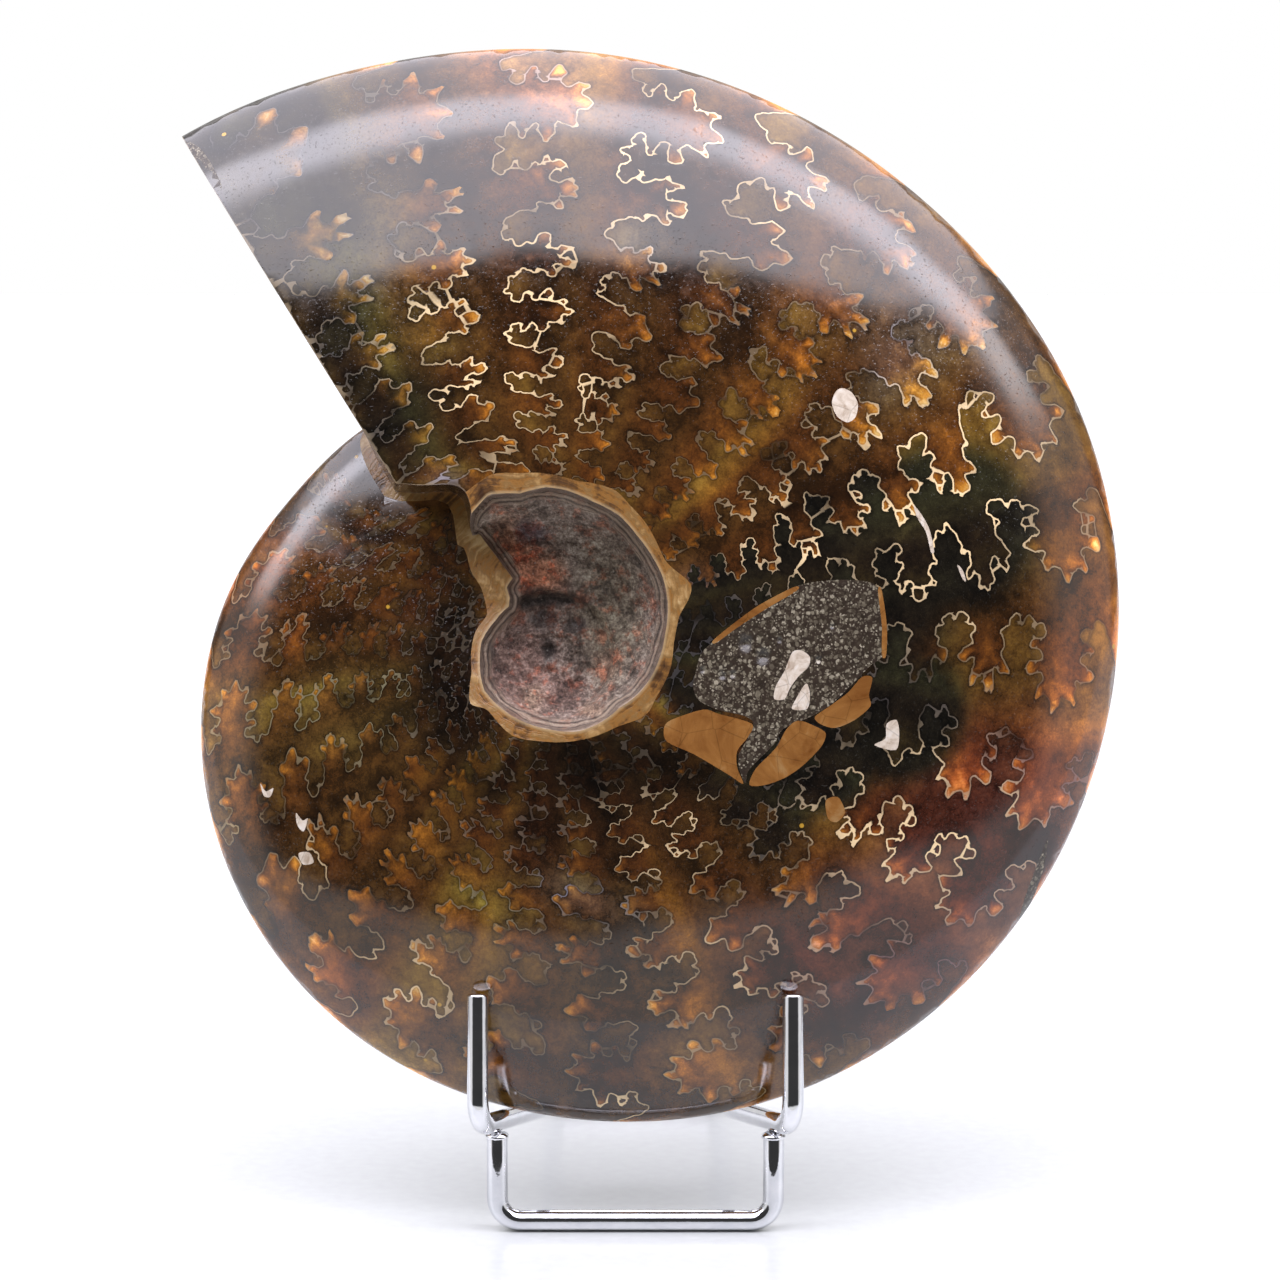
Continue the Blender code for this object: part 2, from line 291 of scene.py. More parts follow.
# Tints of the stone's colour, by the name of the mood. Some are painted light: the shade mood is painted
# shadow, the grey-blue paling is a painted reflection, and orange at the right rim is a painted glow
MOODS = {
    "green": (0.22, 0.62, 1.2),
    "ink": (0.14, 0.24, 0.60),
    "grey_green": (1.7, 2.8, 6.0),
    "olive": (1.3, 1.75, 1.8),
    "yellow": (1.8, 2.15, 2.0),
    "gold": (3.0, 3.2, 2.8),
    "shade": (0.25, 0.25, 0.26),
    "orange": (2.3, 1.8, 1.6),
    "peach": (3.0, 3.2, 5.0),
    "russet": (1.0, 0.62, 1.5),
    "umber": (0.5, 0.5, 0.7),
    # A grey-blue paling that is a painted reflection of the studio's light on the polish.
    "sheen_veil": (1.4, 2.1, 5.0),
    "rust": (1.40, 0.72, 0.46),
    "pitch": (0.17, 0.19, 0.28),
    "rose": (0.98, 0.80, 0.78),
    "moss": (0.85, 0.90, 0.78),
    "pale": (1.15, 0.98, 0.82),
}

# Where the moods lie: x, w, half width, half height and the name of the mood
FRONT_MOODS = (
    (-38, 55, 9, 9, "ink"), (-29, 38, 9, 9, "ink"), (-21, 0, 6, 13, "ink"), (-21, -13, 7, 7, "ink"),
    (6, -23, 13, 7, "ink"), (-34, 72, 8, 8, "grey_green"), (-28, 55, 8, 7, "olive"),
    (-62, -12, 8, 9, "gold"), (-62, -30, 7, 9, "gold"), (-30, -77, 12, 6, "gold"),
    (-41, -14, 14, 11, "olive"), (-29, -9, 8, 7, "olive"), (27, -79, 12, 6, "gold"),
    (8, -42, 6, 5, "olive"), (-14, -46, 6, 5, "olive"), (0, -34, 20, 9, "umber"),
    # The orange ovals at the right rim, at x 96 and 97, are a painted glow of light shining through the
    # thin edge. The other orange ovals are the stone's own colour.
    (-58, 11, 11, 11, "orange"), (-41, -64, 9, 7, "orange"), (97, 4, 6, 24, "orange"),
    (96, -29, 8, 24, "orange"), (-5, 103, 11, 6, "peach"), (71, -47, 22, 16, "russet"),
    (80, -27, 16, 14, "russet"), (53, -58, 20, 11, "russet"), (-56, 84, 25, 20, "ink"),
    # The grey-blue paling ovals on this line and the next are a painted reflection of the studio's light on
    # the polish.
    (20, 75, 25, 14, "umber"), (62, 52, 9, 8, "sheen_veil"), (16, 72, 8, 5, "sheen_veil"), (-20, 28, 4, 3, "sheen_veil"),
    (-80, 92, 3, 4, "pitch"), (24, 7, 4, 4, "sheen_veil"), (5, -45, 9, 4, "sheen_veil"), (-19, -8, 7, 16, "pitch"),
    (5, -24, 9, 8, "pitch"), (22, -24, 9, 6, "pitch"), (-10, -25, 8, 5, "pitch"), (-24, 10, 5, 8, "umber"),
)
BACK_MOODS = (
    (-40, 30, 22, 18, "olive"), (50, 40, 20, 16, "russet"), (60, -20, 16, 20, "orange"),
    (0, -60, 24, 12, "yellow"), (-55, -20, 14, 20, "umber"), (20, 70, 24, 14, "olive"),
    (-30, 70, 18, 12, "ink"), (70, 10, 10, 16, "green"),
)
# The shade ovals are painted shadow: along the inner whorl's ledge, in its holes and in the groove at the
# disc's left edge.
DISH_MOODS = (
    (9, 4, 6, 12, "moss"), (-9, 15, 4, 6, "rust"), (-4, 11, 4, 5, "rust"), (-5, 19.5, 2.5, 2, "umber"),
    (-8, -4, 6, 7, "rose"), (-3, -9, 7, 4, "rose"), (-3, 7.3, 7, 1.3, "shade"),
    (-3.2, 4.2, 2.6, 1.5, "shade"), (3, 2.8, 1.4, 1.6, "shade"), (-2.1, -1.9, 1.0, 2.4, "shade"),
    (-13.2, -3, 0.8, 6, "shade"), (-4.5, -10.6, 2.2, 1.8, "pale"), (9, -4.5, 2.2, 1.8, "pale"),
    (6, -13, 2.5, 1.2, "pale"),
)
BACK_DISH_MOODS = ((5, 8, 6, 5, "rust"), (-4, -6, 6, 5, "rose"), (2, -2, 3, 3, "pitch"))
STRAY_SCALE = 0.45
FACE_STRAY = 5.0
DISH_STRAY = 1.2
BLOB_FALL = 0.7
SEED_STEP = 17.3

# Streaks of paler and darker stone over a face, and their share beside each chamber's own chance
STREAK_SCALE = (9.0, 1.6)
STREAK_SIZE = 0.7
STREAK_SHARE = 0.6
CHAMBER_SHARE = 0.4

# Whole chambers of green-black stone: x, w, half width, half height
GREEN = (0.14, 0.25, 0.66)
GREEN_CHAMBERS = (8, 9, 10, 11, 12)
FRONT_GREEN = (
    (47, 12, 18, 17), (70, 20, 12, 11), (60, -13, 10, 9), (33, -31, 9, 7), (25, 2, 7, 12), (46, -20, 9, 8),
)
GREEN_FULLNESS = 2.6
GREEN_DULLING = 0.8

# Where the suture lines show as bright cream: x, w, half width, half height, strength
FRONT_CREAM = (
    (-9, 54, 20, 20, 1.0), (70, 25, 20, 23, 1.0), (25, 85, 31, 20, 0.8), (65, -34, 20, 16, 0.9),
    (33, -61, 20, 11, 0.55), (-28, -64, 12, 9, 0.7), (-44, -40, 6, 6, 0.6), (-20, -60, 5, 5, 0.6),
    (41, 18, 11, 9, 0.8), (11, -85, 7, 5, 0.8), (20, -35, 12, 8, 0.7), (-52, 62, 14, 10, 0.3),
    (-60, 14, 9, 8, 0.35),
)
BACK_CREAM = (
    (-20, 55, 26, 20, 0.9), (60, 10, 20, 26, 0.8), (10, -65, 26, 14, 0.7), (-50, -30, 12, 14, 0.6),
)
LEAST_CREAM = 0.06
CREAM_UNEVEN = 0.6
CREAM_SCALE = 0.12
CUT_CREAM = 0.30
CUT_WIDTH = 0.8

# The sunk centre's floor and wall, and its holes: x, w, radius, depth
DISH_SPACING = 0.46
DISH_CLEAR = 0.35
DISH_SCATTER = 0.12
DISH_FLOOR = 8.2
DISH_REACH = 9.0
DISH_POWER = 1.9
DISH_WALL = 2.2
DISH_TOP = DISH_FLOOR + 11
DISH_BLUR = 12
DISH_SLACK = 0.15
DISH_HOLES = ((-2.7, 4.4, 1.3, 1.4), (3.1, 3.2, 1.1, 1.3), (-2.1, -1.9, 1.5, 1.2), (-4.5, -10.5, 1.6, -0.6))

# Relief of the shown sunk centre: the inner whorl below a ledge, ripples on it, and layers at the wall
WHORL_MIDDLE = (-2.1, -3.0)
WHORL_R = 12.6
WHORL_DEPTH = 2.4
WHORL_SQUASH = 1.02
LEDGE_WIDTH = 1.6
RIPPLE_HEIGHT = 0.16
RIPPLE_WAVES = (2.4, 1.5)
LAYER_HEIGHT = 0.22
LAYER_WAVES = 5.2
LAYER_BEND = 3
LAYER_SCALE = 0.13
LAYER_REACH = (4.2, 1.5)

# Relief of the hidden sunk centre: a coil
COIL_MIDDLE = (0, 1)
COIL_GROWTH = 0.62
COIL_DEPTH = 0.6
COIL_START = 1.5
COIL_CLEAR = 3

# Roughness of the matrix: height and scale of two rounds of noise, and of sharp peaks
GRAIN = ((0.45, 0.42), (0.30, 1.0))
GRAIN_PEAKS = (0.22, 1.9)

# The mouth's mesh
MOUTH_SPACING = 1.5
MOUTH_CLEAR = 0.6

# Colours by level, and single colours
STONE_AMBER = (
    (0.0, (0.008, 0.003, 0.0012)), (0.18, (0.022, 0.008, 0.002)), (0.34, (0.07, 0.023, 0.005)),
    (0.50, (0.15, 0.050, 0.008)), (0.66, (0.34, 0.115, 0.013)), (0.84, (0.62, 0.26, 0.033)),
    (1.0, (0.80, 0.50, 0.16)),
)
STONE_OLIVE = (
    (0.0, (0.008, 0.004, 0.0015)), (0.18, (0.020, 0.009, 0.0025)), (0.34, (0.058, 0.026, 0.006)),
    (0.52, (0.125, 0.060, 0.012)), (0.72, (0.24, 0.13, 0.026)), (1.0, (0.40, 0.27, 0.08)),
)
LINE_DULL = (0.17, 0.12, 0.07)
LINE_CREAM = (0.80, 0.60, 0.34)
GOLDEN = (1.25, 1.40, 1.15)
DOT_GOLD = (0.42, 0.24, 0.03)
BAND_COLOURS = (
    (0.20, (0.035, 0.014, 0.005)), (0.36, (0.10, 0.046, 0.014)), (0.48, (0.25, 0.115, 0.026)),
    (0.58, (0.20, 0.11, 0.036)), (0.70, (0.32, 0.185, 0.065)), (0.86, (0.44, 0.30, 0.14)),
)
BAND_LIP = (0.42, 0.31, 0.17)
GRAIN_COLOURS = (
    (0.0, (0.020, 0.014, 0.008)), (0.3, (0.055, 0.043, 0.029)), (0.55, (0.11, 0.092, 0.064)),
    (0.8, (0.20, 0.175, 0.125)), (1.0, (0.36, 0.32, 0.24)),
)
CEMENT = ((0.010, 0.006, 0.004), (0.045, 0.031, 0.021))
MATRIX_COLOURS = (
    (0.08, (0.030, 0.022, 0.017)), (0.32, (0.13, 0.095, 0.076)), (0.50, (0.27, 0.205, 0.168)),
    (0.66, (0.44, 0.36, 0.30)), (0.90, (0.70, 0.63, 0.55)),
)
WALL_COLOURS = (
    (0.34, (0.035, 0.024, 0.018)), (0.44, (0.14, 0.10, 0.075)), (0.54, (0.34, 0.25, 0.18)),
    (0.64, (0.52, 0.42, 0.32)),
)
MATRIX_STAIN = (1.5, 0.72, 0.50)
CRYSTAL = (0.50, 0.47, 0.42)
MOUTH_COLOURS = (
    (0.25, (0.012, 0.007, 0.005)), (0.5, (0.05, 0.028, 0.015)), (0.7, (0.12, 0.075, 0.04)),
    (0.9, (0.26, 0.19, 0.12)),
)
MOUTH_EDGE = (0.20, 0.155, 0.14)
TAN_COLOURS = ((0.13, 0.045, 0.009), (0.25, 0.11, 0.028), (0.34, 0.22, 0.095))
WHITE_COLOURS = ((0.34, 0.26, 0.19), (0.58, 0.50, 0.41), (0.68, 0.63, 0.57))
CHROME_COLOURS = ((0.3, (0.66, 0.67, 0.70)), (0.7, (0.78, 0.78, 0.80)))
FLOOR_COLOURS = ((0.3, (0.422, 0.439, 0.430)), (0.7, (0.443, 0.461, 0.450)))

# The stand's rods, on the paths of the CAD model's rods
ROD_R = 1.93
CAD_ROD_R = 2.0
ROD_SIDES = 28
BEND_R = 5.0
FOOT_BEND_R = 4.2
BEND_STEPS = 14
END_ROUNDING = 0.5
END_TURNS_DEG = (85, 60, 30, 0)
PRONG_X = 28.4
PRONG_TOP = 24.3
PRONG_V = -14.7
ARM_W = 0.45
BACK_X = 16.9
BACK_V = 23.9
BACK_TOP = 80.0
FOOT_X = 25.2
STRUT_TOP_W = 55.0
STRUT_BEHIND = 2.4
STRUT_FOOT_Y = 78.0
GAP = 0.3

# Weld beads: half sizes along x, y and z, and how far they lie from the rods' ends
FOOT_BEAD = (2.2, 2.1, 0.9)
FOOT_BEAD_DROP = 0.1
STRUT_BEAD = (1.9, 1.2, 1.9)
STRUT_BEAD_SHIFT = (0, -0.9, -0.4)
BEAD_ROWS = 10
BEAD_COLUMNS = 18
BEAD_LUMPS = 0.16
BEAD_LUMP_SCALE = 1.8

# Floor, in metres
FLOOR_X = (-1.2, 1.2)
FLOOR_Y = (-0.10, 1.6)
FLOOR_DROP = 0.00002

# Studio light: heights above the horizon and turns away from the camera's side, in degrees
WALL_TURN = (60.0, 120.0)
WALL_LIGHT = (0.95, 0.8)
CEILING_HEIGHT = (37.0, 42.0)
CEILING_LIGHT = 3.4
ROOM_TURN = (66.0, 50.0)
ROOM_TOP = (41.5, 37.5)
ROOM_BOTTOM = (-18.0, -13.0)
ROOM_SHADE = 0.95
FLAG_STARTS = (96.0, 108.0)
FLAG_ENDS = (150.0, 138.0)
FLAG_TOP = (40.0, 26.0)
FLAG_SHADE = -0.72
TINT_HEIGHT = (20.0, 50.0)
LOW_TINT = (1.0, 0.99, 1.0)
HIGH_TINT = (0.97, 0.94, 1.05)

# The long lamp over the camera, by the direction's shares ahead and up
LAMP_STARTS = (0.16, 0.26)
LAMP_ENDS = (0.46, 0.34)
LAMP_UP = (0.36, 0.56)
LAMP_LIGHT = 5.5

# Camera, in metres
CAMERA_AIM = Vector((-0.0019, -0.0169, 0.1061))
CAMERA_DISTANCE = 0.9
CAMERA_ELEVATION = math.radians(10)
CAMERA_LENS = 138.3
CAMERA_SENSOR = 36


def hermite(t, start, end, leave, arrive):
    """A smooth way from start to end, with the slopes at both ends given."""
    first = (2 * t**3 - 3 * t**2 + 1) * start + (t**3 - 2 * t**2 + t) * leave
    return first + (3 * t**2 - 2 * t**3) * end + (t**3 - t**2) * arrive


def curve_through(xs, ys, x):
    """A smooth curve through the points (xs, ys), read at every x."""
    xs = np.asarray(xs, float)
    ys = np.asarray(ys, float)
    slopes = np.gradient(ys, xs)
    x = np.clip(x, xs[0], xs[-1])
    i = np.clip(np.searchsorted(xs, x) - 1, 0, len(xs) - 2)
    step = xs[i + 1] - xs[i]
    return hermite((x - xs[i]) / step, ys[i], ys[i + 1], step * slopes[i], step * slopes[i + 1])


def smooth_share(x):
    """Nought below nought, one above one, and a soft curve between."""
    x = np.clip(x, 0, 1)
    return x * x * (3 - 2 * x)


def section(share):
    """The half thickness as a share of the outline's distance, at a share of the way out."""
    drop = np.clip((SHOULDER - share) / SHOULDER, 0, 1)
    out = np.clip((share - SHOULDER) / (1 - SHOULDER), 0, 1)
    return FULLNESS * (1 - SHOULDER_DROP * drop**2) * (1 - out**2) ** LENS_POWER


def depth_table():
    """Depths inwards from the outer edge, by share of the way out: path length over distance."""
    shares = 1 - (1 - INNERMOST_SHARE) * np.linspace(0, 1, DEPTH_SAMPLES) ** EDGE_CROWDING
    steps = np.hypot(np.diff(shares), np.diff(section(shares)))
    depths = -np.concatenate([[0], np.cumsum(steps / (shares[1:] + shares[:-1]) * 2)])
    return depths[::-1], shares[::-1]


DEPTHS, SHARES = depth_table()


def outline_radius(back):
    """The outer edge's distance from the centre, for angles back from the mouth's tip."""
    return curve_through(OUTLINE_DEG, OUTLINE_R, np.degrees(back))


def depth_at(back, r):
    """The depth inwards of a point at distance r."""
    return np.interp(np.minimum(r / outline_radius(back), 1), SHARES, DEPTHS)


def radius_at(back, depth):
    """The distance from the centre at a depth inwards."""
    return outline_radius(back) * np.interp(depth, DEPTHS, SHARES)


def on_face(points):
    """The angle back and the depth of points, held to what a face has."""
    return np.clip(points[:, 0], 0, TAU), np.minimum(points[:, 1], 0)


def radius_of(points):
    """The distance from the centre of points in angle back and depth."""
    return radius_at(*on_face(points))


def mouth_swing(r, back):
    """How far the points beside the mouth turn so that they follow its cut edge."""
    old = np.asarray(back) > math.pi
    near = np.minimum(back, TAU - back)
    cut = np.arcsin(MOUTH_OFFSET / np.maximum(r, LIP_R[-1])) - math.asin(MOUTH_OFFSET / OUTLINE_R[0])
    lip = np.radians(curve_through(LIP_R, LIP_DEG, r))
    swing = np.where(r > LIP_R[-1], cut, lip)
    inward = np.clip(1 - r / OUTLINE_R[-1], 0, 1)
    slope = math.radians(LIP_SLOPE_DEG) * np.sqrt(inward)
    swing = swing + np.where(old & (r > LIP_R[0]), slope, 0)
    return swing * smooth_share(1 - near / MOUTH_FADE)


def place(back, depth, side):
    """Points of a face: x, y and w about the spiral's centre."""
    back = np.asarray(back, float)
    outer = outline_radius(back)
    share = np.interp(depth, DEPTHS, SHARES)
    r = outer * share
    turned = TIP_ANGLE - back + mouth_swing(r, back)
    return np.stack([r * np.cos(turned), side * outer * section(share), r * np.sin(turned)], axis=-1)


def face_normals(back, depth, side, step=2e-4):
    """Directions straight out of a face."""
    round_it = place(back + step, depth, side) - place(back - step, depth, side)
    depth = np.minimum(depth, -step)
    across = place(back, depth + step, side) - place(back, depth - step, side)
    out = np.cross(round_it, across)
    out[out[:, 1] * side < 0] *= -1
    return out / np.linalg.norm(out, axis=1, keepdims=True)


def to_spiral(points):
    """Angle back and depth of points given in x and w."""
    points = np.asarray(points, float)
    r = np.hypot(points[:, 0], points[:, 1])
    plain = (TIP_ANGLE - np.arctan2(points[:, 1], points[:, 0])) % TAU
    back = plain
    for _ in range(SWING_ROUNDS):
        back = np.clip(plain + mouth_swing(r, back), 0, TAU)
    return np.stack([back, depth_at(back, r)], axis=-1)


def rounded(points, per, closed=False):
    """A smooth curve through the points, with a number of steps for each."""
    points = np.asarray(points, float)
    if closed:
        padded = np.vstack([points[-1:], points, points[:2]])
    else:
        padded = np.vstack([2 * points[:1] - points[1:2], points, 2 * points[-1:] - points[-2:-1]])
    rows = (padded[:-3], padded[1:-2], padded[2:-1], padded[3:])
    before, start, end, after = (row[:, None, :] for row in rows)
    t = (np.arange(per) / per)[None, :, None]
    curve = hermite(t, start, end, CURVE_TENSION * (end - before), CURVE_TENSION * (after - start))
    curve = curve.reshape(-1, points.shape[1])
    return curve if closed else np.vstack([curve, points[-1:]])


def inside(points, outline):
    """Which of the points lie inside a closed outline."""
    result = np.zeros(len(points), bool)
    low, high = outline.min(0), outline.max(0)
    near = np.nonzero(np.all((points >= low) & (points <= high), axis=1))[0]
    x0, y0 = outline[:, 0], outline[:, 1]
    x1, y1 = np.roll(x0, -1), np.roll(y0, -1)
    rise = np.where(y1 == y0, TINY, y1 - y0)
    for start in range(0, len(near), CHUNK):
        picked = near[start:start + CHUNK]
        x, y = points[picked, 0][:, None], points[picked, 1][:, None]
        spans = (y0 > y) != (y1 > y)
        crossing = x0 + (y - y0) / rise * (x1 - x0)
        result[picked] = np.count_nonzero(spans & (crossing > x), axis=1) % 2 == 1
    return result


def passed(points, line):
    """Which of the points lie beyond a suture line, counted from the mouth."""
    beyond = 2 * TAU
    wall = np.array([[beyond, line[-1, 1]], [beyond, line[0, 1]]])
    return inside(points, np.vstack([line, wall]))


def lobe_shape(i, rng):
    """The outline of a line's lobe number i: picked, sometimes mirrored, and bent a little."""
    usual = rng.random() < USUAL_LOBE_CHANCE or i < SMALL_LOBES
    name = LOBE_ORDER[i] if usual else LOBE_CHOICES[rng.integers(len(LOBE_CHOICES))]
    shape = np.array(LOBE_SHAPES[name])
    if rng.random() < 0.5:
        shape = np.stack([1 - shape[:, 0], shape[:, 1]], axis=1)[::-1]
    wobble = LOBE_JITTER * rng.normal(size=shape.shape)
    wobble[[0, -1]] = 0
    return shape + wobble


def suture_line(k, rng, spacing):
    """Suture line number k, from the seam out to the outer edge, in angle back and depth."""
    lobes = np.interp(LOBE_SHARES, SHARES, DEPTHS)
    inmost = 1.5 * lobes[0] - 0.5 * lobes[1]
    saddles = np.concatenate([[inmost], (lobes[1:] + lobes[:-1]) / 2, [TOP_SADDLE]])
    saddles = saddles + SADDLE_JITTER * rng.normal(size=len(saddles))
    pieces = []
    for i in range(len(lobes)):
        shape = lobe_shape(i, rng)
        small = i < SMALL_LOBES
        deep = SMALL_LOBE_DEPTH if small else LOBE_DEPTH + LOBE_DEPTH_JITTER * rng.normal()
        across = saddles[i] + (saddles[i + 1] - saddles[i]) * shape[:, 0]
        piece = np.stack([(shape[:, 1] - 0.5) * (SUTURE_STEP * deep), across], axis=1)
        pieces.append(piece[1 if i else 0:])
    line = frilled(rounded(np.vstack([*pieces, LINE_END]), CURVE_STEPS), rng)
    sway = sum(size * np.sin(waves * line[:, 1] + change * k) for size, waves, change in SWAYS)
    line[:, 0] += FIRST_SUTURE + k * SUTURE_STEP + sway
    return thinned(line, spacing)


def frilled(line, rng):
    """A suture line with small scallops all along it, rounded towards the mouth."""
    steps = np.linalg.norm(np.diff(line, axis=0), axis=1)
    along = np.concatenate([[0], np.cumsum(steps)])
    count = int(along[-1] / FRILL_LENGTH * SPARE_FRILLS)
    knots = np.concatenate([[0], np.cumsum(FRILL_LENGTH * rng.uniform(*FRILL_SPREAD, count))])
    where = np.interp(along, knots, np.arange(len(knots)))
    size = rng.uniform(*FRILL_SIZES, len(knots))[where.astype(int)]
    arch = (np.abs(np.sin(math.pi * where)) - FRILL_MIDDLE) * size
    way = np.gradient(line, axis=0)
    way /= np.maximum(np.linalg.norm(way, axis=1, keepdims=True), TINY)
    return line + FRILL_DEPTH * arch[:, None] * np.stack([-way[:, 1], way[:, 0]], axis=1)


def thinned(line, spacing):
    """The line with its points about a spacing apart, in millimetres on the fossil."""
    r = radius_of(line)
    mean_r = (r[1:] + r[:-1]) / 2
    steps = np.linalg.norm(np.diff(line, axis=0), axis=1) * mean_r
    steps /= np.clip(mean_r / FULL_LINE_R, FINEST_LINE, 1)
    marks = (np.concatenate([[0], np.cumsum(steps)]) / spacing).astype(int)
    keep = np.concatenate([[True], np.diff(marks) > 0])
    keep[-1] = True
    return line[keep]


def clear_of_edges(points, rim, gap):
    """Which of the points keep a gap, in millimetres, to the borders of a face."""
    gap = gap / radius_of(points)
    low = np.interp(points[:, 0], rim[:, 0], rim[:, 1]) + gap
    ends = (points[:, 0] > gap) & (points[:, 0] < TAU - gap)
    return ends & (points[:, 1] > low) & (points[:, 1] < -gap)


def ring_points(spacing, rng, rim):
    """Scattered points about a spacing apart all over a face, in angle back and depth."""
    found = []
    depth = -0.5 * spacing / MEAN_R
    while depth > DEEPEST:
        r = MEAN_R * float(np.interp(depth, DEPTHS, SHARES))
        count = int(TAU * r / spacing)
        backs = (np.arange(count) + 0.5 * rng.random()) * TAU / count
        found.append(np.stack([backs, np.full(count, depth)], axis=1))
        depth -= ROW_SHARE * spacing / r
    points = np.vstack(found)
    size = spacing / radius_of(points)
    points += SCATTER * size[:, None] * rng.normal(size=points.shape)
    return points[clear_of_edges(points, rim, 0.5 * spacing)]


def grid_over(outline, spacing):
    """Rows of points all over the box of a closed outline."""
    low, high = outline.min(0), outline.max(0)
    xs = np.arange(low[0], high[0], spacing)
    ys = np.arange(low[1], high[1], spacing * ROW_SHARE)
    xs, ys = np.meshgrid(xs, ys)
    xs[1::2] += spacing / 2
    return np.stack([xs.ravel(), ys.ravel()], axis=1)


def tree_of(points):
    """A search tree over points."""
    tree = kdtree.KDTree(len(points))
    for i, point in enumerate(points):
        tree.insert(point, i)
    tree.balance()
    return tree


def distances(tree, points):
    """How far each point is from the nearest point of a tree."""
    return np.array([tree.find(point)[2] for point in points])


def nearest_on(outline, points):
    """For each flat point, the number of the outline's nearest point, and how far it is."""
    tree = tree_of(np.column_stack([outline, np.zeros(len(outline))]))
    found = [tree.find((x, y, 0)) for x, y in points]
    return np.array([row[1] for row in found]), np.array([row[2] for row in found])


def chain(numbers):
    """Edges that join numbers in their order."""
    return list(zip(numbers[:-1], numbers[1:]))


def ring_edges(count):
    """Edges round a closed outline of points."""
    return chain([*range(count), 0])


def triangulate(points, edges):
    """Triangles over flat points that keep the given edges, with any points that crossing edges add."""
    flat = [Vector(p) for p in points.tolist()]
    verts, _, faces, origins, _, _ = delaunay_2d_cdt(flat, edges, [], 0, MERGE_DISTANCE)
    index = np.zeros(len(verts), int)
    added = []
    for i, origin in enumerate(origins):
        if origin:
            index[i] = min(origin)
        else:
            index[i] = len(points) + len(added)
            added.append(tuple(verts[i]))
    triangles = index[np.array(faces, int)]
    if added:
        points = np.vstack([points, np.array(added)])
    return points, triangles


def filled(outline, inner):
    """Triangles over a closed outline and the points inside it."""
    flat, triangles = triangulate(np.vstack([outline, inner]), ring_edges(len(outline)))
    return triangles[inside(flat[triangles].mean(axis=1), outline)]


def outward(points, triangles, way):
    """The triangles, turned so that they face a way."""
    a, b, c = (points[triangles[:, i]] for i in range(3))
    wrong = np.cross(b - a, c - a) @ way < 0
    triangles = triangles.copy()
    triangles[wrong] = triangles[wrong][:, ::-1]
    return triangles


def averaged_normals(points, triangles):
    """For each corner, the normal of its point averaged over the triangles round it."""
    a, b, c = (points[triangles[:, i]] for i in range(3))
    flat = np.cross(b - a, c - a)
    total = np.zeros_like(points)
    for i in range(3):
        np.add.at(total, triangles[:, i], flat)
    length = np.maximum(np.linalg.norm(total, axis=1, keepdims=True), TINY)
    return (total / length)[triangles]


class Shell:
    """The closed mesh in the making: shared points, triangles and what is known of each corner."""

    def __init__(self):
        self.points = []
        self.parts = []

    def add_points(self, points):
        """Adds points and returns their numbers."""
        start = len(self.points)
        self.points.extend(points.tolist())
        return np.arange(start, len(self.points))

    def spread(self, numbers, values):
        """Values of some points as a list for all of them, with nought or white for the rest."""
        everywhere = np.ones((len(self.points), 3)) if values.ndim > 1 else np.zeros(len(self.points))
        everywhere[numbers] = values
        return everywhere

    def add_plain_part(self, triangles, kind, ring, tint=None):
        """Adds triangles with no suture lines of their own."""
        corners = (len(triangles), 3)
        self.parts.append({
            "triangles": triangles,
            "kinds": np.full(len(triangles), KINDS.index(kind)),
            "line": np.full(corners, PLAIN_LINE),
            "ring": ring,
            "glow": np.zeros(corners),
            "lobe": np.zeros(corners),
            "cream": np.zeros(corners),
            "tint": np.ones((*corners, 3)) if tint is None else tint,
            "chance": np.zeros(corners),
            "normals": averaged_normals(np.array(self.points), triangles),
        })


class Sheet:
    """A face in angle back and depth: its points, and the edges that its triangles keep."""

    def __init__(self, border):
        self.points = [border]
        self.count = len(border)
        self.edges = ring_edges(len(border))

    def add_line(self, spots, keep):
        """Adds a line's kept spots and the edges between neighbours."""
        index = np.full(len(spots), -1)
        index[keep] = self.count + np.arange(np.count_nonzero(keep))
        self.points.append(spots[keep])
        self.count += np.count_nonzero(keep)
        self.edges += [(a, b) for a, b in chain(index.tolist()) if a >= 0 and b >= 0]


def rim_line(rim):
    """The sunk centre's rim on a face, in angle back and depth."""
    back = np.linspace(0, TAU, RIM_STEPS + 1)
    degrees, radii = zip(*rim)
    return np.stack([back, depth_at(back, np.interp(np.degrees(back), degrees, radii))], axis=1)


def in_spiral(outlines):
    """Closed outlines in x and w as smooth ones in angle back and depth."""
    shapes = [to_spiral(rounded(outline, OUTLINE_STEPS, closed=True)) for outline in outlines]
    for shape in shapes:
        shape[shape[:, 0] > np.median(shape[:, 0]) + math.pi, 0] = 0
    return shapes


def band_outline(band, rim):
    """The shell band's outer line, and its closed outline, in angle back and depth."""
    degrees, radii = (np.array(row, float) for row in zip(*band))
    outer = rounded(np.stack([np.radians(degrees), radii], axis=1), OUTLINE_STEPS)
    back = np.clip(outer[:, 0], 0, TAU)
    outer = np.stack([back, depth_at(back, outer[:, 1])], axis=1)
    return outer, np.vstack([outer, rim[::-1]])


def old_edge_depths(rim, throat):
    """Depths along the oldest whorl's side of the mouth, with finer steps inside the throat."""
    depths = np.linspace(throat, 0, OLD_EDGE_STEPS)[:-1]
    if rim[-1, 1] < throat - TINY:
        steps = int((throat - rim[-1, 1]) / OLD_RIM_SPACING)
        depths = np.concatenate([np.linspace(rim[-1, 1], throat, steps)[:-1], depths])
    return depths


